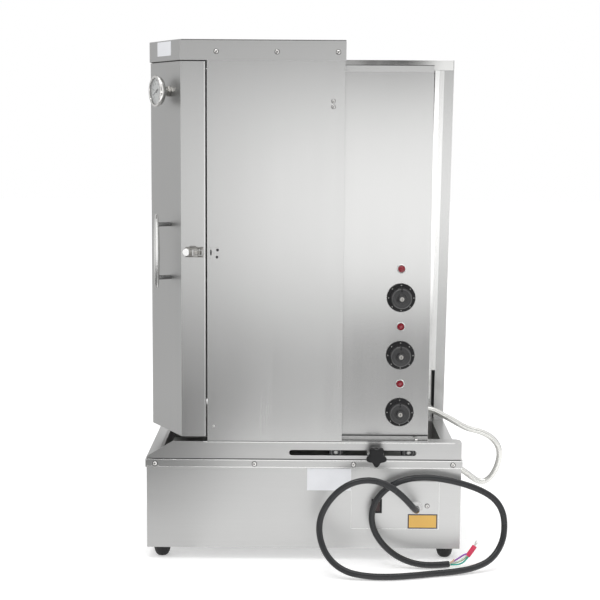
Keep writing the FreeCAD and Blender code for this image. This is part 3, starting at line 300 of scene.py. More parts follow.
def brushed_finish(name, along, tone, roughness, grain, fold=None):
    """Brushed sheet with fine lines, long streaks and wiping marks, coarser beyond a fold if given."""
    finish = Finish(name, metallic=1.0)
    lines = finish.noise(1 / grain, detail=4.0, stretch=drawn_out(along, LINE_LENGTH))
    streaks = finish.noise(STREAKS, stretch=drawn_out(along, STREAK_LENGTH))
    smears = finish.noise(SMEARS)
    finish.tint(lines * 0.4 + streaks * 0.35 + smears * 0.25, tone, low=0.93, high=1.06)
    rough = roughness - 0.06 + lines * 0.05 + streaks * 0.04 + smears * 0.04
    if fold is not None:
        across = finish.node("ShaderNodeSeparateXYZ", {}, {"Vector": finish.place()})
        rough = rough + across.below(fold) * COARSER
    finish.set("Roughness", rough)
    finish.bump(lines, strength=0.006, distance=0.0001)
    return finish.material


def polished_finish(name, tone, roughness):
    """Bright metal with a faint uneven haze."""
    finish = Finish(name, metallic=1.0)
    haze = finish.noise(scale=18.0, detail=4.0)
    finish.tint(haze, tone, low=0.94, high=1.05)
    finish.set("Roughness", roughness + haze * 0.08)
    return finish.material


def moulded_finish(name, colour, roughness, grit, depth=0.00006, coat=0.0, shine=0.5):
    """Plastic, rubber, print or enamel with a fine grained skin."""
    finish = Finish(name, coat_weight=coat, specular_ior_level=shine)
    skin = finish.noise(grit, detail=2.0)
    wear = finish.noise(scale=14.0, detail=4.0)
    finish.tint(wear, colour, low=0.88, high=1.12)
    finish.set("Roughness", roughness - 0.06 + wear * 0.12)
    finish.bump(skin, strength=0.35, distance=depth)
    return finish.material


def lens_finish(name, colour):
    """Red lamp lens with a fine cell pattern."""
    finish = Finish(name, transmission_weight=0.15, ior=1.49, coat_weight=0.8)
    cells = finish.node("ShaderNodeTexVoronoi", {}, {"Vector": finish.place(), "Scale": 700.0})
    finish.tint(cells, colour, low=1.0, high=0.6)
    finish.set("Roughness", 0.10 + cells * 0.1)
    return finish.material


def glass_finish(name):
    """Clear dial glass with a trace of dust."""
    finish = Finish(name, base_color=GLASS_TINT, transmission_weight=1.0, ior=1.46)
    dust = finish.noise(scale=60.0, detail=4.0)
    finish.set("Roughness", dust * 0.03)
    return finish.material


def sleeve_finish(name, tone, radius):
    """Silvery sleeve of the conduit, with a faint woven skin."""
    finish = Finish(name, metallic=0.85)
    wear = finish.noise(scale=30.0, detail=4.0)
    weave = finish.noise(0.9 / radius, detail=2.0, stretch=(1, 1, 3))
    finish.tint(wear * 0.5 + weave * 0.5, tone, low=0.88, high=1.08)
    finish.set("Roughness", 0.20 + wear * 0.1)
    finish.bump(weave, strength=0.10, distance=0.0002)
    return finish.material


# Added roughness of the door's slanted face, its width, and the place of the fold that bounds it.
COARSER = 0.14
SLANT_WIDTH = 64
DOOR_FOLD = (DOOR_LEFT + SLANT_WIDTH) * MM
# Brushed sheets: direction of the grain, share of the steel's tone, added roughness and a fold.
BRUSHED = {
    "sheet_upright": ("Z", 1.0, 0.0),
    "sheet_level": ("X", 1.0, 0.11),
    "sheet_cross": ("Y", 1.0, 0.06),
    "door_sheet": ("Z", 1.0, 0.0, DOOR_FOLD),
    "control_sheet": ("Z", 0.94, -0.05),
    "far_sheet": ("Z", 0.98, 0.0),
    "rail_sheet": ("X", 1.5, 0.08),
    "lid_sheet": ("X", 1.05, 0.03),
    "wall_sheet": ("X", 0.94, 0.04),
}
# Bright metals: tone and roughness.
POLISHED = {
    "polished": ((0.74, 0.74, 0.73), 0.10),
    "bright": ((0.80, 0.79, 0.77), 0.08),
    # A paler copy of the steel as painted highlight: along folds, hems and edges, on the far lip and round
    # the lamps.
    "hem": ((0.76, 0.76, 0.75), 0.22),
    "satin": ((0.60, 0.60, 0.59), 0.28),
    "rail": ((0.68, 0.68, 0.67), 0.06),
    # A near-white copy of the steel as painted highlight: the bright strip beside the far lip and the
    # latch's tab.
    "clean_edge": ((0.89, 0.89, 0.88), 0.14),
    "bar_steel": ((0.64, 0.64, 0.63), 0.12),
    # A dark copy of the steel as painted shade: the handle's posts, the washers in the slot and the line
    # under the cap's top.
    "post_steel": ((0.20, 0.20, 0.20), 0.24),
    "tray": ((0.52, 0.52, 0.51), 0.40),
    "gauge_case": ((0.42, 0.42, 0.41), 0.24),
    "latch_steel": ((0.40, 0.39, 0.37), 0.26),
    "brass": ((0.72, 0.53, 0.24), 0.22),
}
# Plastics, rubbers and paints: colour, roughness, grains per metre, depth of the grain, coat and shine.
MOULDED = {
    "rubber": ((0.022, 0.022, 0.023), 0.50, 1400.0, 0.00006, 0.0, 0.3),
    "cord_rubber": ((0.022, 0.023, 0.025), 0.27, 1800.0, 0.00003, 0.0, 0.40),
    "black_plastic": ((0.012, 0.012, 0.013), 0.34, 1500.0, 0.00003, 0.0, 0.25),
    "grip_plastic": ((0.036, 0.036, 0.037), 0.30, 1500.0, 0.00003, 0.0, 0.45),
    # A paler plastic as painted highlight on the rims of the knobs' grips.
    "rim_plastic": ((0.090, 0.090, 0.091), 0.30, 1500.0, 0.00003),
    # Dark painted shade for the shadowed channel behind the far panel's lip.
    "seal_rubber": ((0.055, 0.055, 0.056), 0.55, 1400.0),
    "gland_white": ((0.93, 0.93, 0.92), 0.40, 1200.0),
    "dot_paint": ((0.30, 0.30, 0.29), 0.45, 1200.0),
    "motor_paint": ((0.22, 0.23, 0.24), 0.50, 800.0),
    "dial_white": ((0.72, 0.72, 0.71), 0.45, 1500.0, 0.00001),
    # Black print and needle, also used as painted shade in the knobs' insert slots.
    "ink": ((0.025, 0.025, 0.027), 0.50, 1500.0, 0.00001),
    # Near-black painted shade for the gaps between sheets, the catch's holes, the screws' gaps and recesses,
    # and the hooks in the slot.
    "seam": ((0.040, 0.040, 0.042), 0.60, 1500.0, 0.00001),
    "sheath": ((0.11, 0.10, 0.09), 0.55, 500.0),
    "plate_white": ((0.88, 0.89, 0.92), 0.35, 1500.0, 0.00001, 0.2),
    "plate_amber": ((0.97, 0.58, 0.12), 0.40, 1500.0, 0.00001, 0.2),
    "plate_rim": ((0.04, 0.04, 0.07), 0.45, 1500.0, 0.00001),
    "rocker_red": ((0.035, 0.010, 0.010), 0.30, 1500.0),
    "core_red": ((0.82, 0.05, 0.13), 0.35, 1500.0),
    "core_yellow": ((0.80, 0.72, 0.28), 0.40, 1500.0),
    "core_violet": ((0.33, 0.08, 0.48), 0.40, 1500.0),
    "core_green": ((0.05, 0.48, 0.38), 0.40, 1500.0),
    "core_pale": ((0.72, 0.80, 0.72), 0.40, 1500.0),
    "core_peach": ((0.80, 0.50, 0.38), 0.40, 1500.0),
}
# Finished materials by name, and the CAD nodes that wear them.
FINISHES = {}
CAD_FINISHES = {
    "sheet_upright": ["near_side_panel", "door_liner", "far_slide_panel", "heater_back_cover",
                      "hinge_fixed_leaves", "hinge_door_leaves", "latch_catch"],
    "door_sheet": ["door_skin"],
    "control_sheet": ["control_panel"],
    "sheet_level": ["base_shell", "hatch_cover", "cap", "base_floor", "motor_stand", "heater_floor",
                    "meat_plate"],
    "wall_sheet": ["near_guide_wall", "deck_frame"],
    "rail_sheet": ["far_guide_rail"],
    "sheet_cross": ["top_crossbar"],
    "far_sheet": ["far_side_panel"],
    "lid_sheet": ["heater_top_cover"],
    "polished": ["reflector", "drive_shaft", "drive_hub", "spit_rod", "clamp_washer"],
    "satin": ["thermometer_nut", "heater_guard", "conduit_inlet", "conduit_outlet", "clamp_bracket"],
    "tray": ["drip_pan"],
    "black_plastic": ["switch_housing", "regulator_bodies"],
    "rocker_red": ["switch_rocker"],
    "gland_white": ["cord_gland"],
    "motor_paint": ["gear_motor"],
    "brass": ["top_bush"],
    "dial_white": ["thermometer_dial"],
    "ink": ["thermometer_needle"],
    "glass": ["thermometer_glass"],
    "sheath": ["heater_element_1", "heater_element_2", "heater_element_3"],
    "lens": ["indicator_lamps"],
}


def make_finishes(steel, conduit_radius):
    """Fill the table of finishes from the steel's settings and the tables above."""
    for name, (along, share, rougher, *fold) in BRUSHED.items():
        FINISHES[name] = brushed_finish(name, along, shaded(steel.tone, share), steel.roughness + rougher,
                                        steel.grain, *fold)
    for name, values in POLISHED.items():
        FINISHES[name] = polished_finish(name, *values)
    for name, values in MOULDED.items():
        FINISHES[name] = moulded_finish(name, *values)
    FINISHES["glass"] = glass_finish("glass")
    FINISHES["lens"] = lens_finish("lens", LENS_RED)
    FINISHES["sleeve"] = sleeve_finish("sleeve", SLEEVE_TONE, conduit_radius)


def linked(name, data):
    """A new object in the scene."""
    made = bpy.data.objects.new(name, data)
    bpy.context.scene.collection.objects.link(made)
    return made


def mesh_of(name, shape):
    """A mesh that takes the place of a bmesh."""
    mesh = bpy.data.meshes.new(name)
    shape.to_mesh(mesh)
    shape.free()
    return mesh


def new_piece(name, shape, material, body=None, smooth_angle=35):
    """Turn a finished bmesh in millimetres into a piece, which rides on a body if one is named."""
    bmesh.ops.scale(shape, vec=(MM, MM, MM), verts=shape.verts)
    mesh = mesh_of(name, shape)
    mesh.materials.append(FINISHES[material])
    mesh.shade_smooth()
    mesh.set_sharp_from_angle(angle=math.radians(smooth_angle))
    piece = linked(name, mesh)
    if body:
        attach(piece, body)
    return piece


def cleaned(shape):
    """The same bmesh with doubled points merged and every face turned outwards."""
    bmesh.ops.remove_doubles(shape, verts=shape.verts, dist=1e-4)
    bmesh.ops.recalc_face_normals(shape, faces=shape.faces)
    return shape


def turned(profile, steps):
    """A form turned about the Z axis from (radius, height) corners."""
    shape = bmesh.new()
    verts = [shape.verts.new((radius, 0, height)) for radius, height in profile]
    edges = [shape.edges.new(pair) for pair in zip(verts, verts[1:])]
    bmesh.ops.spin(shape, geom=verts + edges, cent=(0, 0, 0), axis=(0, 0, 1), angle=math.tau, steps=steps,
                   use_merge=True)
    return cleaned(shape)


def slab(width, height, depth, edge, segments=2):
    """A rounded plate that stands on the XY plane."""
    shape = bmesh.new()
    bmesh.ops.create_cube(shape, size=1)
    bmesh.ops.scale(shape, vec=(width, height, depth), verts=shape.verts)
    bmesh.ops.translate(shape, vec=(0, 0, depth / 2), verts=shape.verts)
    bmesh.ops.bevel(shape, geom=shape.edges[:], offset=edge, offset_type="OFFSET", segments=segments,
                    profile=0.5, affect="EDGES", material=-1)
    return shape


def moved(shape, matrix):
    """The same bmesh, taken through a matrix."""
    bmesh.ops.transform(shape, matrix=matrix, verts=shape.verts)
    return shape


def shifted(shape, x, y, z):
    return moved(shape, Matrix.Translation((x, y, z)))


def between(left, right, low, high, depth, edge, segments=1):
    """A slab between two places across and two heights."""
    plate = slab(right - left, high - low, depth, edge, segments)
    return shifted(plate, (left + right) / 2, (low + high) / 2, 0)


def joined(shapes):
    """Gather several bmeshes in one."""
    whole = bmesh.new()
    for shape in shapes:
        mesh = mesh_of("gathered", shape)
        whole.from_mesh(mesh)
        bpy.data.meshes.remove(mesh)
    return whole


def copies(profile, places, steps):
    """A turned form at each of several places, in one bmesh."""
    return joined(moved(turned(profile, steps), place) for place in places)


def seat(x, y, z, turn=TO_NEAR):
    """Place a form that stands on XY so that it faces the control side, or as turned, at a point."""
    return Matrix.Translation((x, y, z)) @ turn


def pinned(body, face, rise=0):
    """Place on a face that looks to the control side, in line with a body's joint."""
    pivot = pivot_mm(body)
    return seat(pivot.x, face, pivot.z + rise)


def curve_shape(curve):
    """The bmesh of a curve or text object as it stands."""
    bpy.context.view_layer.update()
    mesh = bpy.data.meshes.new_from_object(curve.evaluated_get(bpy.context.evaluated_depsgraph_get()))
    shape = bmesh.new()
    shape.from_mesh(mesh)
    bpy.data.meshes.remove(mesh)
    return shape


def tube(name, route, radius):
    """A round cord along a smooth spline: its bmesh, and the points that it follows in metres."""
    data = bpy.data.curves.new(name, "CURVE")
    data.dimensions = "3D"
    spline = data.splines.new("NURBS")
    spline.points.add(len(route) - 1)
    for point, place in zip(spline.points, route):
        point.co = (*place, 1)
    spline.order_u = 3
    spline.use_endpoint_u = True
    spline.resolution_u = 8
    line = linked(name, data)
    bare = curve_shape(line)
    path = [vert.co * MM for vert in bare.verts]
    bare.free()
    data.bevel_depth = radius
    data.bevel_resolution = 6
    data.use_fill_caps = True
    shape = curve_shape(line)
    bpy.data.objects.remove(line)
    return cleaned(shape), path


def length_of(points):
    """Length of a line through points."""
    return sum((after - before).length for before, after in zip(points, points[1:]))


class ROTISSERIE_OT_finishes(bpy.types.Operator):
    """Make every finish and give it to the CAD nodes"""

    bl_idname = "rotisserie.finishes"
    bl_label = "Finishes"

    def execute(self, context):
        make_finishes(context.scene.rotisserie_steel, context.scene.rotisserie_trim.conduit_radius)
        for name, nodes in CAD_FINISHES.items():
            for node in nodes:
                mesh = NODES[node].data
                mesh.materials.clear()
                mesh.materials.append(FINISHES[name])
        return {"FINISHED"}


class ROTISSERIE_OT_power_cord(bpy.types.Operator):
    """Lay the power cord in its two leaning loops, with its bare cores"""

    bl_idname = "rotisserie.power_cord"
    bl_label = "Power cord"

    # Each core's name, finish, radius and points: ahead of the cord's end, to its left and upwards.
    CORES = [
        ("cord_end_ring", "core_pale", 4.7, [(-0.6, 0, 0), (0.4, 0, 0), (1.4, 0, 0)]),
        ("cord_core_1", "core_violet", 1.5,
         [(0, 1, 1.5), (11, 2.5, 3.5), (22, 2, 9.5), (31, 1, 15), (38, 0, 16)]),
        ("cord_core_2", "core_green", 1.5,
         [(0, -1, -1), (14, -3, -2), (25, -3, 0), (33, -2, 6), (39, -1, 12)]),
        ("cord_core_3", "core_pale", 1.5,
         [(0, 0, 0.5), (12, 0, 1.5), (24, -1, 5.5), (32, 0, 10.5), (38, 0, 14)]),
        ("cord_core_4", "core_yellow", 1.4,
         [(0, 2, -1), (13, 2, 0), (25, 1, 3), (33, 1, 8.5), (38, 0.5, 13)]),
        ("cord_core_5", "core_peach", 1.6, [(0, -1, 2), (4, -2.5, 4), (7.5, -3, 6.4), (9, -3, 9)]),
        ("cord_sleeve", "core_red", 4.5, [(36.5, 0, 11.5), (41, 0, 17), (46, 0, 23.5), (50, 0, 29)]),
        ("cord_tip_1", "bright", 1.0, [(49, 0.9, 27.5), (51.5, 1.6, 32), (53, 2.4, 37)]),
        ("cord_tip_2", "bright", 1.0, [(49, -0.9, 27.5), (52, -1.4, 31.5), (54.5, -1.8, 35)]),
        ("cord_tip_3", "bright", 0.9, [(49, 0, 28), (52, 0.2, 33), (54, 0.4, 39)]),
    ]

    def execute(self, context):
        radius = context.scene.rotisserie_trim.cord_radius
        shape, path = tube("power_cord_line", POWER_CORD_ROUTE, radius / MM)
        cord = new_piece("power_cord_flex", shape, "cord_rubber", "base", smooth_angle=60)
        before, end = (Vector(point) for point in POWER_CORD_ROUTE[-2:])
        ahead = (end - before).normalized()
        aside = UP.cross(ahead)
        for name, material, core_radius, steps in self.CORES:
            route = [end + ahead * along + aside * side + UP * up for along, side, up in steps]
            core = tube(name, route, core_radius)[0]
            new_piece(name, core, material, "base", smooth_angle=60)
        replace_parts(cord, "power_cord", "cord_cores")
        length_of(path)
        return {"FINISHED"}


class ROTISSERIE_OT_conduit(bpy.types.Operator):
    """Run the flexible conduit from the base to the sliding heater block"""

    bl_idname = "rotisserie.conduit"
    bl_label = "Conduit"

    # Two points on the conduit: the first low by the base, the second high by the heater block.
    STILL_BELOW = (0.3, -0.005, 0.140)
    CARRIED_ABOVE = (0.3, -0.005, 0.238)

    def execute(self, context):
        radius = context.scene.rotisserie_trim.conduit_radius
        shape, path = tube("conduit_line", CONDUIT_ROUTE, radius / MM)
        piece = new_piece("conduit_sleeve", shape, "sleeve", smooth_angle=60)
        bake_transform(piece)
        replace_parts(piece, "conduit")
        length_of(path)
        return {"FINISHED"}


class ROTISSERIE_OT_regulator_knobs(bpy.types.Operator):
    """Turn the three regulator knobs, each with its disc, grip, setting dots and insert, a rim of painted
    highlight, and dark slabs of painted shade in its notch and its insert's slot
    """

    bl_idname = "rotisserie.regulator_knobs"
    bl_label = "Regulator knobs"

    # Corners as radius and height above the control panel.
    DISC = [(0, 0.5), (25.2, 0.5), (26, 1.2), (26, 3.0), (25.4, 4.0), (21.5, 5.0), (19.6, 5.3), (0, 5.3)]
    GRIP = [(0, 5.0), (19.2, 5.0), (19.2, 6.2), (18.6, 17.5), (17.9, 19.6), (16.4, 20.8), (14.5, 21.0),
            (12.0, 20.2), (9.0, 20.4), (8.0, 21.2), (7.4, 25.6), (6.6, 26.6), (5.4, 26.8), (0, 26.8)]
    INSERT = [(0, 26.6), (3.9, 26.6), (3.9, 26.9), (3.3, 27), (1.6, 26.9), (0, 26.9)]
    # A paler ring on the grip's edge, as painted highlight.
    RIM = [(16.2, 20.7), (17.2, 20.4), (17.8, 19.5), (18.2, 19.7), (17.6, 20.9), (16.4, 21.3), (16.2, 20.7)]
    DOT = [(0, 0), (1.25, 0), (1.25, 0.5), (0.9, 0.7), (0, 0.7)]
    DOT_PLACE = (0, 22.8, 4.3)
    # Width, height, depth and rounding, with the rounding's steps for the slot's shade, and places: dark
    # slabs of painted shade in the grip's notch and in the insert's slot.
    INDEX = (2.6, 7.0, 1.0, 0.4)
    INDEX_PLACE = (0, 15.6, 20.2)
    CUT = (1.0, 4.4, 0.3, 0.1, 1)
    CUT_PLACE = (0, 0, 26.8)

    def dot_ring(self, count):
        """Setting dots at equal steps round the disc."""
        turns = [Matrix.Rotation(step * math.tau / count, 4, "Z") for step in range(count)]
        return copies(self.DOT, [turn @ Matrix.Translation(self.DOT_PLACE) for turn in turns], steps=16)

    def execute(self, context):
        dots = context.scene.rotisserie_trim.knob_dots
        for zone in ZONES:
            body = f"knob_{zone}"
            place = pinned(body, CONTROL_FACE)
            forms = [
                ("disc", turned(self.DISC, steps=72), "black_plastic", "black_plastic"),
                ("grip", turned(self.GRIP, steps=72), "grip_plastic", "black_plastic"),
                ("index", shifted(slab(*self.INDEX), *self.INDEX_PLACE), "black_plastic", "black_plastic"),
                ("dots", self.dot_ring(dots), "dot_paint", "white_plastic"),
                ("rim", turned(self.RIM, steps=72), "rim_plastic", "black_plastic"),
                ("insert", turned(self.INSERT, steps=32), "latch_steel", "polished_steel"),
                ("cut", shifted(slab(*self.CUT), *self.CUT_PLACE), "ink", "black_plastic"),
            ]
            for name, shape, material, slot in forms:
                piece = new_piece(f"knob_{name}_{zone}", moved(shape, place), material, body)
                if name == "disc":
                    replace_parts(piece, f"regulator_knob_{zone}")
        return {"FINISHED"}


class ROTISSERIE_OT_lamp_rings(bpy.types.Operator):
    """Add a pale ring of painted highlight and a dark socket round each indicator lamp"""

    bl_idname = "rotisserie.lamp_rings"
    bl_label = "Lamp rings"

    # Corners as radius and height above the control panel, and the lamps' height above the knobs.
    RING = [(7.0, 0.0), (8.4, 0.0), (8.4, 0.6), (7.9, 1.1), (7.0, 1.2), (7.0, 0.0)]
    SOCKET = [(6.45, 0.0), (6.98, 0.0), (6.98, 1.5), (6.45, 1.7), (6.45, 0.0)]
    RISE = 52.5

    def execute(self, context):
        lamps = [pinned(f"knob_{zone}", CONTROL_FACE, self.RISE) for zone in ZONES]
        # The pale ring is a paler steel of painted highlight, standing for the bright halo round each lamp.
        rings = copies(self.RING, lamps, steps=40)
        new_piece("lamp_rings", rings, "hem", "heater_block")
        sockets = copies(self.SOCKET, lamps, steps=40)
        new_piece("lamp_sockets", sockets, "black_plastic", "heater_block")
        return {"FINISHED"}


class ROTISSERIE_OT_clamp_star(bpy.types.Operator):
    """Shape the five-lobed clamp knob"""

    bl_idname = "rotisserie.clamp_star"
    bl_label = "Clamp star"

    # Mean radius, how far the lobes swell beyond it, rings as share of the radius and height, and the neck's
    # corners as radius and height.
    LOBES = 5
    MEAN = 16.2
    SWELL = 2.9
    RINGS = [(0.55, 15.0), (0.72, 17.5), (0.90, 20.5), (0.98, 23.5), (1.0, 27.0), (1.0, 31.5), (0.96, 34.0),
             (0.88, 35.3), (0.74, 35.9), (0.4, 36.0)]
    NECK = [(4.0, 2.3), (8.6, 2.3), (9.0, 3.0), (9.0, 16.0), (4.0, 16.0), (4.0, 2.3)]

    def ring(self, shape, share, height):
        """One lobed outline of the knob, as its edges."""
        made = bmesh.ops.create_circle(shape, cap_ends=False, segments=100, radius=1.0)
        for vert in made["verts"]:
            angle = math.atan2(vert.co.y, vert.co.x)
            swell = self.SWELL * share * share * math.cos(self.LOBES * (angle + math.pi / 2))
            reach = self.MEAN * share + swell
            vert.co = (reach * math.cos(angle), reach * math.sin(angle), height)
        return list({edge for vert in made["verts"] for edge in vert.link_edges})

    def execute(self, context):
        shape = bmesh.new()
        loops = [self.ring(shape, share, height) for share, height in self.RINGS]
        for lower, upper in zip(loops, loops[1:]):
            bmesh.ops.bridge_loops(shape, edges=lower + upper)
        bmesh.ops.contextual_create(shape, geom=loops[0])
        bmesh.ops.contextual_create(shape, geom=loops[-1])
        bmesh.ops.recalc_face_normals(shape, faces=shape.faces)
        whole = moved(joined([shape, turned(self.NECK, steps=40)]), pinned("clamp_knob", NEAR))
        knob = new_piece("clamp_star", whole, "black_plastic", "clamp_knob",
                         smooth_angle=50)
        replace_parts(knob, "clamp_knob")
        return {"FINISHED"}


class ROTISSERIE_OT_slide_hooks(bpy.types.Operator):
    """Hang the hooks that guide the heater block under the slotted wall, beside the clamp"""

    bl_idname = "rotisserie.slide_hooks"
    bl_label = "Slide hooks"

    # Places across, size of the leg behind the slot, rounding, and corners as radius and height on the leg.
    COLUMNS = (58, 190)
    WIDTH = 24
    LEG = 18
    EDGE = 0.3
    WASHER = [(7.6, 0), (9.4, 0), (9.4, 0.4), (8.8, 1.1), (8.2, 1.1), (7.6, 0.4), (7.6, 0)]
    BOLT = [(0, 0), (3.6, 0), (3.6, 0.9), (2.6, 1.6), (2.2, 1.6), (2.0, 0.8), (0, 0.8)]

    def execute(self, context):
        low, high = box_mm("clamp_bracket")
        slot_level = pivot_mm("clamp_knob").z
        drop = FOOT_TOP - low.z
        hooks = []
        for x in self.COLUMNS:
            leg = slab(self.WIDTH, self.LEG, SHEET, self.EDGE)
            hooks.append(moved(leg, seat(x, low.y + SHEET, slot_level)))
            tread = slab(self.WIDTH, high.y - low.y, SHEET, self.EDGE)
            hooks.append(shifted(tread, x, (low.y + high.y) / 2, low.z))
            hanger = slab(self.WIDTH, drop, SHEET, self.EDGE)
            hooks.append(moved(hanger, seat(x, high.y, low.z + drop / 2)))
        # The hooks are near-black painted shade and the washers dark steel of painted shade, for the shade
        # inside the slot.
        new_piece("slide_hooks", joined(hooks), "seam", "heater_block")
        on_legs = [seat(x, low.y, slot_level) for x in self.COLUMNS]
        washers = copies(self.WASHER, on_legs, steps=48)
        new_piece("slide_washers", washers, "post_steel", "heater_block")
        bolts = copies(self.BOLT, on_legs, steps=24)
        new_piece("slide_bolts", bolts, "gauge_case", "heater_block")
        return {"FINISHED"}


class ROTISSERIE_OT_thermometer(bpy.types.Operator):
    """Dress the thermometer with its round case, rolled bezel and dial scale"""

    bl_idname = "rotisserie.thermometer"
    bl_label = "Thermometer"

    # Corners as radius and distance from the door's face.
    CASE = [(0, -45), (3.4, -45), (4, -44.2), (4, 0), (5, 0), (6, 0.5), (6, 14.6), (7, 15), (19, 15.4),
            (23.4, 16.6), (25.1, 18.8), (25.5, 21), (25.5, 27), (24.3, 27), (24.3, 22.5), (0, 22.5)]
    NUT = [(6.1, 0), (9.6, 0), (10.2, 0.6), (10.2, 5.4), (9.6, 6), (6.1, 6), (6.1, 0)]
    BEZEL = [(25.6, 22.2), (26.4, 22.0), (27.2, 22.7), (27.5, 24.2), (27.5, 26.4), (27.2, 27.8),
             (26.3, 28.6), (25, 28.8), (23.9, 28.5), (23.4, 27.9), (23.4, 27.4), (25.6, 27.4), (25.6, 22.2)]
    DIAL_LEVEL = 22.8
    TICK_RING = 21.2
    TICKS = 51
    SWEEP = math.radians(270)
    FIRST = math.radians(225)
    LONG_EVERY = 5
    LONG_TICK = (4.0, 0.7)
    SHORT_TICK = (2.2, 0.4)
    TICK_DEPTH = 0.08
    NUMBERS = ("0", "100", "200", "300", "400", "500")
    NUMBER_RING = 14.2
    NUMBER_SIZE = 3.9
    NUMBER_DEPTH = 0.03
    SCALE_LIFT = 0.3

    def number(self, text):
        """A number of the dial, centred on the origin."""
        data = bpy.data.curves.new("dial_number", "FONT")
        data.body = text
        data.size = self.NUMBER_SIZE
        data.extrude = self.NUMBER_DEPTH
        data.align_x = "CENTER"
        data.align_y = "CENTER"
        writer = linked("dial_number", data)
        shape = curve_shape(writer)
        bpy.data.objects.remove(writer)
        return shape

    def scale_marks(self):
        """The dial's ticks and numbers."""
        marks = []
        for tick in range(self.TICKS):
            angle = self.FIRST - self.SWEEP * tick / (self.TICKS - 1)
            reach, width = self.SHORT_TICK if tick % self.LONG_EVERY else self.LONG_TICK
            mark = slab(reach, width, self.TICK_DEPTH, edge=0.01, segments=1)
            shifted(mark, self.TICK_RING - reach / 2, 0, 0)
            marks.append(moved(mark, Matrix.Rotation(angle, 4, "Z")))
        for index, text in enumerate(self.NUMBERS):
            angle = self.FIRST - self.SWEEP * index / (len(self.NUMBERS) - 1)
            spot = self.NUMBER_RING * Vector((math.cos(angle), math.sin(angle), 0))
            marks.append(shifted(self.number(text), *spot))
        return joined(marks)

    def execute(self, context):
        middle = middle_mm("thermometer_dial")
        place = seat(*(middle - SLANT_OUT * self.DIAL_LEVEL), TO_SLANT)
        shape = moved(turned(self.CASE, steps=72), place)
        case = new_piece("gauge_case", shape, "gauge_case", "door")
        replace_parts(case, "thermometer_case")
        shape = moved(turned(self.NUT, steps=6), place)
        new_piece("gauge_nut", shape, "latch_steel", "door")
        shape = moved(turned(self.BEZEL, steps=72), place)
        bezel = new_piece("gauge_bezel", shape, "bright", "door")
        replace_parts(bezel, "thermometer_bezel")
        scale = moved(self.scale_marks(), seat(*(middle + SLANT_OUT * self.SCALE_LIFT), TO_SLANT))
        new_piece("dial_scale", scale, "ink", "door")
        return {"FINISHED"}


class ROTISSERIE_OT_door_handle(bpy.types.Operator):
    """Turn the door's swelling pull bar and its two posts"""

    bl_idname = "rotisserie.door_handle"
    bl_label = "Door handle"

    # Radius of the bar at each height above its middle.
    BAR = [(6.0, 0), (5.8, 16), (5.4, 32), (4.8, 46), (4.1, 57), (3.3, 63.5), (2.5, 66.2), (1.4, 67),
           (0, 67)]
    POST = [(0, 0), (3.9, 0), (3.9, 25.5), (0, 25.5)]
    AXIS_RADIUS = 5.2
    STANDOFF = 28
    POST_PITCH = 96

    def execute(self, context):
        low, high = box_mm("door_handle")
        axis = Vector((low.x + self.AXIS_RADIUS, low.y + self.AXIS_RADIUS, (low.z + high.z) / 2))
        lower_half = [(radius, -height) for radius, height in reversed(self.BAR[1:])]
        bar = shifted(turned(lower_half + self.BAR, steps=40), *axis)
        handle = new_piece("handle_bar", bar, "bar_steel", "door")
        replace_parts(handle, "door_handle")
        on_door = axis - SLANT_OUT * self.STANDOFF
        feet = [on_door + UP * side * self.POST_PITCH / 2 for side in (-1, 1)]
        posts = copies(self.POST, [seat(*foot, TO_SLANT) for foot in feet], steps=32)
        # The posts are a dark steel of painted shade, between the bar and the door.
        new_piece("handle_posts", posts, "post_steel", "door")
        return {"FINISHED"}


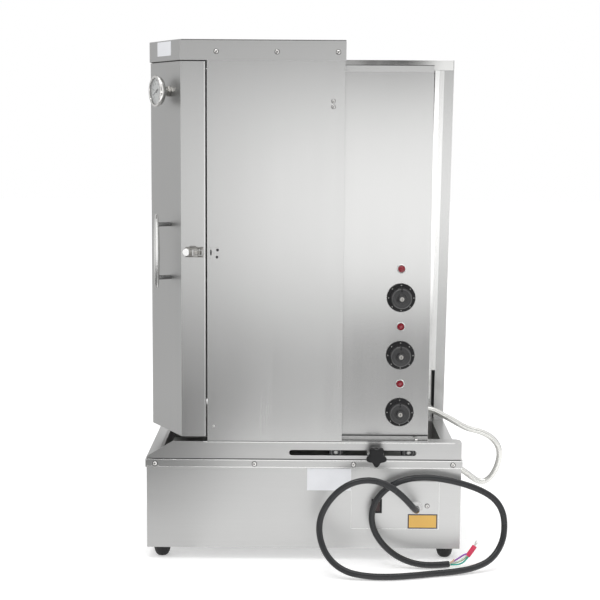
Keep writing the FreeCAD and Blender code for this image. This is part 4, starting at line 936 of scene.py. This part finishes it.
class ROTISSERIE_OT_door_latch(bpy.types.Operator):
    """Build the draw latch: its base, lever with a tab of painted highlight, wire link and dark marks of
    painted shade in the catch's holes
    """

    bl_idname = "rotisserie.door_latch"
    bl_label = "Door latch"

    # Bars as left, right, low and high edge from the lever's pin, level on the door, depth and rounding.
    PLATE_BARS = [(-25, 7, -9, 9, 0, 1.4, 0.4), (-4, 6, -8.6, -7.4, 1.2, 7.2, 0.4),
                  (-4, 6, 7.4, 8.6, 1.2, 7.2, 0.4)]
    LEVER_BARS = [
        (-18.5, -2.2, -8.6, 8.6, 3.6, 5.0, 1.2), (-17, -3.5, -7.1, -5.3, 8.4, 0.7, 0.25),
        (-17, -3.5, -0.9, 0.9, 8.4, 0.7, 0.25), (-17, -3.5, 5.3, 7.1, 8.4, 0.7, 0.25),
        (-17.5, -6.5, 9.5, 10.6, 4.6, 1.2, 0.4), (-17.5, -16.4, 8.0, 9.9, 4.7, 1.0, 0.4),
        (-7.6, -6.5, 8.0, 9.9, 4.7, 1.0, 0.4),
    ]
    TAB_BARS = [(-23.4, -17, -6.2, 6.2, 5.6, 1.3, 0.4)]
    LINK_BARS = [(-11, 6.2, -5.3, -3.5, 9.2, 1.8, 0.7), (-11, 6.2, 3.5, 5.3, 9.2, 1.8, 0.7),
                 (4.6, 6.4, -5.6, 5.6, 3.9, 7.2, 0.6)]
    # Corners as radius and height, and the place of the tab's round end.
    PIN = [(0, -7), (2.2, -7), (2.6, -6.4), (2.6, 6.4), (2.2, 7), (0, 7)]
    LINK_PIN = [(0, -5.4), (1.5, -5.4), (1.5, 5.4), (0, 5.4)]
    TAB = [(0, 0), (5.8, 0), (6.4, 0.5), (6.4, 1.3), (5.8, 1.8), (0, 1.8)]
    TAB_PLACE = (-23.4, 0, 5.4)
    HOLE = [(0, 0), (1, 0), (1, 0.25), (0, 0.25)]
    # Dark marks of painted shade in the catch's holes: place across and up from its middle, and half sizes.
    CATCH_MARKS = [(-5.3, 1.5, 1.5, 5.5), (6.3, 6.0, 2.5, 2.5), (5.4, -6.6, 2.5, 2.5)]
    CREASE = 25

    def bars(self, table):
        """The bars of one piece, each a rounded slab."""
        return [shifted(between(*edges, depth, rounding, segments=2), 0, 0, level)
                for *edges, level, depth, rounding in table]

    def steel(self, name, shape, material, body):
        """A new piece of the latch, with crisp folds."""
        return new_piece(name, shape, material, body, self.CREASE)

    def execute(self, context):
        place = pinned("latch_lever", NEAR)
        plate = moved(joined(self.bars(self.PLATE_BARS)), place)
        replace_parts(self.steel("latch_plate", plate, "latch_steel", "door"), "latch_base")
        lever = moved(joined(self.bars(self.LEVER_BARS)), place)
        lever = joined([lever, shifted(turned(self.PIN, steps=28), *pivot_mm("latch_lever"))])
        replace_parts(self.steel("latch_lever_body", lever, "latch_steel", "latch_lever"), "latch_lever")
        # The tab is near-white steel: painted highlight on the lever's free end.
        tab = joined([shifted(turned(self.TAB, steps=36), *self.TAB_PLACE), *self.bars(self.TAB_BARS)])
        self.steel("latch_tab", moved(tab, place), "clean_edge", "latch_lever")
        link = moved(joined(self.bars(self.LINK_BARS)), place)
        link = joined([link, shifted(turned(self.LINK_PIN, steps=24), *pivot_mm("latch_link"))])
        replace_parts(self.steel("latch_wire", link, "satin", "latch_link"), "latch_link")
        marks = []
        for across, up, half_width, half_height in self.CATCH_MARKS:
            mark = turned(self.HOLE, steps=28)
            bmesh.ops.scale(mark, vec=(half_width, half_height, 1), verts=mark.verts)
            spot = middle_mm("latch_catch") + Vector((across, 0, up))
            marks.append(moved(mark, seat(spot.x, NEAR - SHEET, spot.z)))
        new_piece("catch_holes", joined(marks), "seam", "base")
        return {"FINISHED"}


class ROTISSERIE_OT_rubber_feet(bpy.types.Operator):
    """Mould the four round feet"""

    bl_idname = "rotisserie.rubber_feet"
    bl_label = "Rubber feet"

    # Corners as radius and height, and the largest radius.
    FOOT = [(0, 1.2), (3.0, 1.2), (4.0, 0), (6.0, 0), (8.6, 0.9), (10.8, 2.8), (12.6, 5.6), (14.0, 9.4),
            (15.0, 14), (15.5, 19), (15.5, 22), (0, 22)]
    RADIUS = 15.5

    def execute(self, context):
        low, high = box_mm("rubber_feet")
        corners = [Matrix.Translation((x, y, low.z))
                   for x in (low.x + self.RADIUS, high.x - self.RADIUS)
                   for y in (low.y + self.RADIUS, high.y - self.RADIUS)]
        feet = copies(self.FOOT, corners, steps=40)
        piece = new_piece("round_feet", feet, "rubber", "base")
        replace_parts(piece, "rubber_feet")
        return {"FINISHED"}


class ROTISSERIE_OT_fasteners(bpy.types.Operator):
    """Set the screws and rivets of the sheet-metal work"""

    bl_idname = "rotisserie.fasteners"
    bl_label = "Fasteners"

    # Corners of a head for a radius of one and of its shadow gap, then its recess: each arm's width, height,
    # depth, rounding and steps, its level and the turns of the arms. The gap and the recess are dark painted
    # shade.
    HEAD = [(0, 0), (1, 0), (1, 0.12), (0.92, 0.34), (0.7, 0.5), (0.36, 0.56), (0.3, 0.48), (0, 0.44)]
    GAP = [(0, 0), (1.22, 0), (1.22, 0.04), (0, 0.04)]
    CROSS = (0.72, 0.2, 0.1, 0.02, 1)
    CROSS_LEVEL = 0.47
    CROSS_TURNS = (25, 115)
    # Places of each group, and its share of the screws' or rivets' radius where it differs.
    SKIRT_DROP = 0.5
    SKIRT_COLUMNS = (-270.5, -90, 90, 270.5)
    CAP_COLUMNS = (-158.6, -51.8, 55.5)
    CAP_LEVEL = 917
    CAP_SHARE = 0.95
    HATCH_SCREW = (225, HATCH_FACE, 102.6)
    HATCH_SHARE = 0.9
    RIVETS = ((47.7, NEAR, 832), (47.7, NEAR, 822))
    FOOT_RIVET = (-164, NEAR, 248)
    FOOT_RIVET_SHARE = 0.8
    FOOT_SCREW = (204, NEAR + 14, FOOT_TOP)

    def group(self, name, radius, body, places):
        """Heads of a group of fasteners, with their gaps and recesses in dark painted shade."""
        heads, recess_shades = [], []
        for place in places:
            sized = place @ Matrix.Scale(radius, 4)
            heads.append(moved(turned(self.HEAD, steps=28), sized))
            recess_shades.append(moved(turned(self.GAP, steps=28), sized))
            for turn in self.CROSS_TURNS:
                arm = shifted(slab(*self.CROSS), 0, 0, self.CROSS_LEVEL)
                recess_shades.append(moved(arm, sized @ Matrix.Rotation(math.radians(turn), 4, "Z")))
        new_piece(f"{name}_heads", joined(heads), "bright", body)
        new_piece(f"{name}_recesses", joined(recess_shades), "seam", body)

    def execute(self, context):
        trim = context.scene.rotisserie_trim
        screw, rivet = trim.screw_radius / MM, trim.rivet_radius / MM
        level = (SKIRT_FOOT + DECK_TOP) / 2 - self.SKIRT_DROP
        near_skirt = [seat(x, SKIRT_FACE, level) for x in self.SKIRT_COLUMNS]
        far_skirt = [seat(x, SKIRT_FAR_FACE, level, TO_FAR) for x in self.SKIRT_COLUMNS]
        cap = [seat(x, CAP_FACE, self.CAP_LEVEL) for x in self.CAP_COLUMNS]
        self.group("skirt_screws", screw, "base", near_skirt)
        self.group("far_skirt_screws", screw, "base", far_skirt)
        self.group("cap_screws", self.CAP_SHARE * screw, "base", cap)
        self.group("hatch_screw", self.HATCH_SHARE * screw, "base", [seat(*self.HATCH_SCREW)])
        self.group("panel_rivets", rivet, "base", [seat(*place) for place in self.RIVETS])
        sized = seat(*self.FOOT_RIVET) @ Matrix.Scale(self.FOOT_RIVET_SHARE * rivet, 4)
        foot_rivet = moved(turned(self.HEAD, steps=28), sized)
        new_piece("foot_rivet", foot_rivet, "satin", "base")
        self.group("foot_screw", screw, "heater_block", [Matrix.Translation(self.FOOT_SCREW)])
        return {"FINISHED"}


class ROTISSERIE_OT_sheet_edges(bpy.types.Operator):
    """Draw strips of painted highlight along the folds, hems and edges, and of painted shade in the gaps
    where the sheets meet
    """

    bl_idname = "rotisserie.sheet_edges"
    bl_label = "Sheet edges"

    # Height of a strip above its sheet, rounding of its edges, and width of the hatch's edges of painted
    # highlight.
    PROUD = 0.25
    EDGE = 0.08
    HATCH_EDGE = 0.7
    # Where the wall's fold ends and the cap's begins.
    WALL_FOLD_END = WALL_RIGHT - 12
    CAP_FOLD = DOOR_LEFT + 66
    # The far panel's rail, its raked lip, and the lip's dark strip of painted shade, for the shadowed
    # channel behind it, as width, depth, rounding and shift.
    RAIL_FOOT = RAIL_TOP - 20
    LIP_WIDTH = 20
    LIP_RAKE = 9
    SEAL_FOOT = WALL_TOP - 6
    SEAL_TOP = 292
    SEAL = (6.8, 1.2, 0.4)
    SEAL_SHIFT = -0.8
    # Facings of painted highlight on the lip and beside it: name, finish, width, place across from the lip's
    # left edge and foot.
    LIP_FACINGS = (
        ("lip_fold", "hem", 9.6, -4.2, SEAL_TOP),
        ("lip_edge", "clean_edge", 9.0, -13.5, WALL_TOP + 12),
    )
    # Name, finish, body and face of each strip, then its left, right, low and high edge. Each strip is
    # painted shade in a gap or painted highlight along a fold, hem or edge.
    STRIPS = (
        ("panel_foot_gap", "seam", "base", NEAR, PANEL_LEFT, PANEL_RIGHT, WALL_TOP, WALL_TOP + 1),
        ("wall_top_fold", "hem", "base", NEAR, PANEL_LEFT - 8, WALL_FOLD_END, WALL_TOP - 2.4,
         WALL_TOP - 0.2),
        ("wall_foot_gap", "seam", "base", NEAR, SKIRT_LEFT + 3.5, SKIRT_RIGHT - 3.5, DECK_TOP,
         DECK_TOP + 1.4),
        ("deck_fold", "hem", "base", SKIRT_FACE, SKIRT_LEFT + 0.5, SKIRT_RIGHT - 0.5, DECK_TOP - 2,
         DECK_TOP - 0.3),
        ("skirt_hem", "hem", "base", SKIRT_FACE, SKIRT_LEFT + 0.5, SKIRT_RIGHT - 0.5, SKIRT_FOOT,
         SKIRT_FOOT + 1.6),
        ("cap_top_fold", "post_steel", "base", CAP_FACE, CAP_FOLD, PANEL_RIGHT + 1, CAP_TOP - 1.6, CAP_TOP),
        ("door_edge_fold", "hem", "door", NEAR, DOOR_EDGE - 2.2, DOOR_EDGE - 0.3, DOOR_FOOT + 0.5,
         DOOR_TOP - 0.5),
        ("control_foot_gap", "seam", "heater_block", CONTROL_FACE, CONTROL_LEFT, CONTROL_RIGHT - 0.5,
         FOOT_TOP + 3.4, FOOT_TOP + 5.8),
        ("lid_top_gap", "seam", "heater_block", LID_FACE, CONTROL_LEFT, CONTROL_RIGHT, LID_TOP - 1,
         LID_TOP),
        ("rail_facing", "rail", "base", RAIL_FACE, PANEL_RIGHT + 4, RAIL_END - 2, RAIL_FOOT + 0.4,
         RAIL_TOP - 0.2),
    )

    def execute(self, context):
        low, high = box_mm("hatch_cover")
        edge = self.HATCH_EDGE
        hatch_strips = (
            ("hatch_left_edge", "hem", "base", HATCH_FACE, low.x, low.x + edge, low.z, high.z),
            ("hatch_foot_edge", "hem", "base", HATCH_FACE, low.x, high.x, low.z, low.z + edge),
            ("hatch_right_edge", "hem", "base", HATCH_FACE, high.x - edge, high.x, low.z, high.z),
        )
        for name, material, body, face, *edges in self.STRIPS + hatch_strips:
            shape = moved(between(*edges, self.PROUD, self.EDGE), seat(0, face, 0))
            slot = "black_plastic" if material == "seam" else "polished_steel"
            new_piece(name, shape, material, body)
        self.face_lip()
        return {"FINISHED"}

    def face_lip(self):
        """Face the far panel's raked lip and the sheet beside it with painted highlight, above a dark strip
        of painted shade at the lip's edge.
        """
        lean = math.atan(self.LIP_RAKE / (RAIL_TOP - DECK_TOP))
        lip_left = RAIL_END - self.LIP_RAKE - self.LIP_WIDTH
        for name, material, width, across, foot in self.LIP_FACINGS:
            middle = (foot + self.RAIL_FOOT) / 2
            raked_left = lip_left + math.tan(lean) * (middle - DECK_TOP)
            place = seat(raked_left + across, RAIL_FACE, middle) @ Matrix.Rotation(-lean, 4, "Z")
            sheet = moved(slab(width, self.RAIL_FOOT - foot, self.PROUD, self.EDGE, segments=1), place)
            new_piece(name, sheet, material, "base")
        width, depth, edge = self.SEAL
        shade_strip = slab(width, self.SEAL_TOP - self.SEAL_FOOT, depth, edge)
        moved(shade_strip, seat(lip_left + self.SEAL_SHIFT, FAR - SHEET, (self.SEAL_TOP + self.SEAL_FOOT) / 2))
        new_piece("lip_seal", shade_strip, "seal_rubber", "base")


class ROTISSERIE_OT_blank_plates(bpy.types.Operator):
    """Fix the blank plates on the base and the cap"""

    bl_idname = "rotisserie.blank_plates"
    bl_label = "Blank plates"

    # Name, finish, slot and face of each plate, then its left, right, low and high edge and its depth.
    PLATES = [
        ("blank_white_plate", "plate_white", "white_plastic", NEAR, 6, 86, 130, 171, 0.5),
        ("blank_amber_rim", "plate_rim", "black_plastic", HATCH_FACE, 190, 244, 60, 87, 0.4),
        ("blank_amber_plate", "plate_amber", "white_plastic", HATCH_FACE - 0.2, 192, 242, 62, 85, 0.5),
    ]
    EDGE = 0.15
    # The cap's plate: size with its rounding, shift along the slanted face and drop from the cap's top.
    CAP_PLATE = (60, 25, 0.4, 0.12)
    CAP_PLATE_SHIFT = -17
    CAP_PLATE_DROP = 14.5

    def execute(self, context):
        for name, material, slot, face, *edges, depth in self.PLATES:
            plate = moved(between(*edges, depth, self.EDGE), seat(0, face, 0))
            new_piece(name, plate, material, "base")
        on_door = middle_mm("thermometer_dial") - SLANT_OUT * ROTISSERIE_OT_thermometer.DIAL_LEVEL
        spot = on_door + SLANT_ACROSS * self.CAP_PLATE_SHIFT + SLANT_OUT * (NEAR - CAP_FACE)
        spot.z = CAP_TOP - self.CAP_PLATE_DROP
        plate = moved(slab(*self.CAP_PLATE, segments=1), seat(*spot, TO_SLANT))
        new_piece("blank_cap_plate", plate, "plate_white", "base")
        return {"FINISHED"}


class ROTISSERIE_OT_studio(bpy.types.Operator):
    """Set up the pale floor, the soft light and the camera"""

    bl_idname = "rotisserie.studio"
    bl_label = "Studio"

    # Name, place, aimed at, width, height, power of each soft box.
    LAMPS = [
        ("key_soft", (0.72, -2.8, 0.50), (0.72, 0.0, 0.50), 1.9, 0.80, 3.5),
        ("top_soft", (0.2, -0.3, 2.9), (0.0, 0.0, 0.0), 2.2, 2.2, 18.0),
        ("top_strip", (-0.5, -1.1, 2.5), (0.2, -0.2, 0.1), 0.5, 0.16, 5.0),
    ]
    # Name, centre, width, height, turn about X, turn about Z and grey level of each reflector card.
    CARDS = [
        ("card_floor", (0.0, -2.2, 0.02), 5.0, 2.2, 0, 0, 0.62),
        ("card_floor_left", (-1.275, -1.87, 0.03), 2.15, 2.76, 0, 0, 0.19),
        ("card_floor_right", (1.03, -2.55, 0.03), 1.9, 0.90, 0, 0, 0.08),
        ("card_base_left", (-0.55, -0.48, 0.003), 0.70, 0.60, 0, 0, 0.92),
        ("card_base_right", (0.42, -0.545, 0.003), 0.66, 0.71, 0, 0, 1.4),
        ("card_high", (0.0, -3.0, 2.01), 5.0, 2.0, 90, 0, 0.40),
        ("card_side", (-1.15, 0.75, 1.12), 2.6, 2.2, 90, 57, 0.65),
        ("card_floor_side", (-0.72, 0.36, 0.02), 2.6, 1.0, 0, 57, 0.62),
        ("card_rail", (0.357, -2.9, 1.09), 0.20, 0.20, 90, 0, 0.0),
        ("card_corner", (0.61, -2.9, 1.04), 0.14, 0.20, 90, 0, 1.4),
        ("card_behind_right", (1.9, 1.6, 0.7), 2.2, 1.4, 90, 130, 0.25),
        ("card_behind_left", (-0.95, 2.3, 0.7), 0.9, 1.4, 90, 22, 0.35),
    ]
    FLOOR_WIDTH = 24
    SENSOR = 36
    PAPER = (0.90, 0.90, 0.90)

    def execute(self, context):
        studio = context.scene.rotisserie_studio
        self.lay_floor(studio.paper_glow)
        self.fill_world(context.scene, studio.ambient)
        for lamp in self.LAMPS:
            self.hang_lamp(*lamp)
        for card in self.CARDS:
            self.stand_card(*card)
        self.set_camera(context.scene, studio)
        context.scene.view_settings.view_transform = "Standard"
        return {"FINISHED"}

    def stage_sheet(self, name, width, height, matrix, material):
        shape = bmesh.new()
        bmesh.ops.create_grid(shape, x_segments=1, y_segments=1, size=0.5)
        bmesh.ops.scale(shape, vec=(width, height, 1), verts=shape.verts)
        moved(shape, matrix)
        mesh = mesh_of(name, shape)
        mesh.materials.append(material)
        sheet = linked(name, mesh)
        return sheet

    def lay_floor(self, glow):
        paper = Finish("studio_paper", base_color=self.PAPER, roughness=0.9, emission_strength=1.0,
                       specular_ior_level=0.1)
        paper.set("Emission Color", paper.mix(paper.in_sight(), (0, 0, 0), (glow, glow, glow)))
        self.stage_sheet("studio_floor", self.FLOOR_WIDTH, self.FLOOR_WIDTH, Matrix(), paper.material)

    def fill_world(self, scene, ambient):
        world = bpy.data.worlds.new("studio_air")
        scene.world = world
        world.use_nodes = True
        air = Nodes(world.node_tree)
        background = air.tree.nodes["Background"]
        air.feed(background.inputs["Color"], (1, 1, 1))
        air.feed(background.inputs["Strength"], ambient + air.in_sight() * (1 - ambient))

    def stand_card(self, name, centre, width, height, tilt, turn, level):
        """A grey card that shows only in the steel's reflections."""
        grey = Finish(f"{name}_grey", base_color=(0, 0, 0), emission_color=(level, level, level),
                      emission_strength=1.0, roughness=1.0, specular_ior_level=0.0)
        lean = Matrix.Rotation(math.radians(turn), 4, "Z") @ Matrix.Rotation(math.radians(tilt), 4, "X")
        card = self.stage_sheet(name, width, height, Matrix.Translation(centre) @ lean, grey.material)
        card.visible_camera = False
        card.visible_diffuse = False
        card.visible_transmission = False
        card.visible_shadow = False

    def hang_lamp(self, name, place, target, width, height, power):
        light = bpy.data.lights.new(name, "AREA")
        light.shape = "RECTANGLE"
        light.size = width
        light.size_y = height
        light.energy = power
        lamp = linked(name, light)
        lamp.location = place
        lamp.rotation_euler = (Vector(target) - Vector(place)).to_track_quat("-Z", "Y").to_euler()

    def set_camera(self, scene, studio):
        data = bpy.data.cameras.new("photo_camera")
        data.sensor_fit = "HORIZONTAL"
        data.sensor_width = self.SENSOR
        data.lens = studio.lens
        camera = linked("photo_camera", data)
        place = Matrix.Translation((studio.camera_x, NEAR * MM - studio.camera_back, studio.camera_z))
        tilt = Matrix.Rotation(math.radians(90) - studio.pitch, 4, "X")
        camera.matrix_world = place @ tilt @ Matrix.Rotation(studio.roll, 4, "Z")
        scene.camera = camera


OPERATORS = (
    ROTISSERIE_OT_finishes,
    ROTISSERIE_OT_studio,
    ROTISSERIE_OT_power_cord,
    ROTISSERIE_OT_conduit,
    ROTISSERIE_OT_regulator_knobs,
    ROTISSERIE_OT_lamp_rings,
    ROTISSERIE_OT_clamp_star,
    ROTISSERIE_OT_slide_hooks,
    ROTISSERIE_OT_thermometer,
    ROTISSERIE_OT_door_handle,
    ROTISSERIE_OT_door_latch,
    ROTISSERIE_OT_rubber_feet,
    ROTISSERIE_OT_fasteners,
    ROTISSERIE_OT_sheet_edges,
    ROTISSERIE_OT_blank_plates,
)
SETTINGS = {
    "rotisserie_steel": SteelFinish,
    "rotisserie_trim": TrimSizes,
    "rotisserie_studio": StudioSettings,
}


class ROTISSERIE_PT_panel(bpy.types.Panel):
    """Lists the rotisserie's pieces and settings"""

    bl_idname = "ROTISSERIE_PT_panel"
    bl_label = "Rotisserie"
    bl_space_type = "VIEW_3D"
    bl_region_type = "UI"
    bl_category = "Rotisserie"

    def draw(self, context):
        for setting, group in SETTINGS.items():
            box = self.layout.box()
            for name in group.__annotations__:
                box.prop(getattr(context.scene, setting), name)
        for operator in OPERATORS:
            self.layout.operator(operator.bl_idname)


def register():
    for group in SETTINGS.values():
        bpy.utils.register_class(group)
    for setting, group in SETTINGS.items():
        setattr(bpy.types.Scene, setting, PointerProperty(type=group))
    for operator in OPERATORS:
        bpy.utils.register_class(operator)
    bpy.utils.register_class(ROTISSERIE_PT_panel)


def unregister():
    bpy.utils.unregister_class(ROTISSERIE_PT_panel)
    for operator in reversed(OPERATORS):
        bpy.utils.unregister_class(operator)
    for setting in SETTINGS:
        delattr(bpy.types.Scene, setting)
    for group in SETTINGS.values():
        bpy.utils.unregister_class(group)


def main():
    register()
    for operator in OPERATORS:
        group, name = operator.bl_idname.split(".")
        getattr(getattr(bpy.ops, group), name)()


if __name__ == "__main__":
    main()
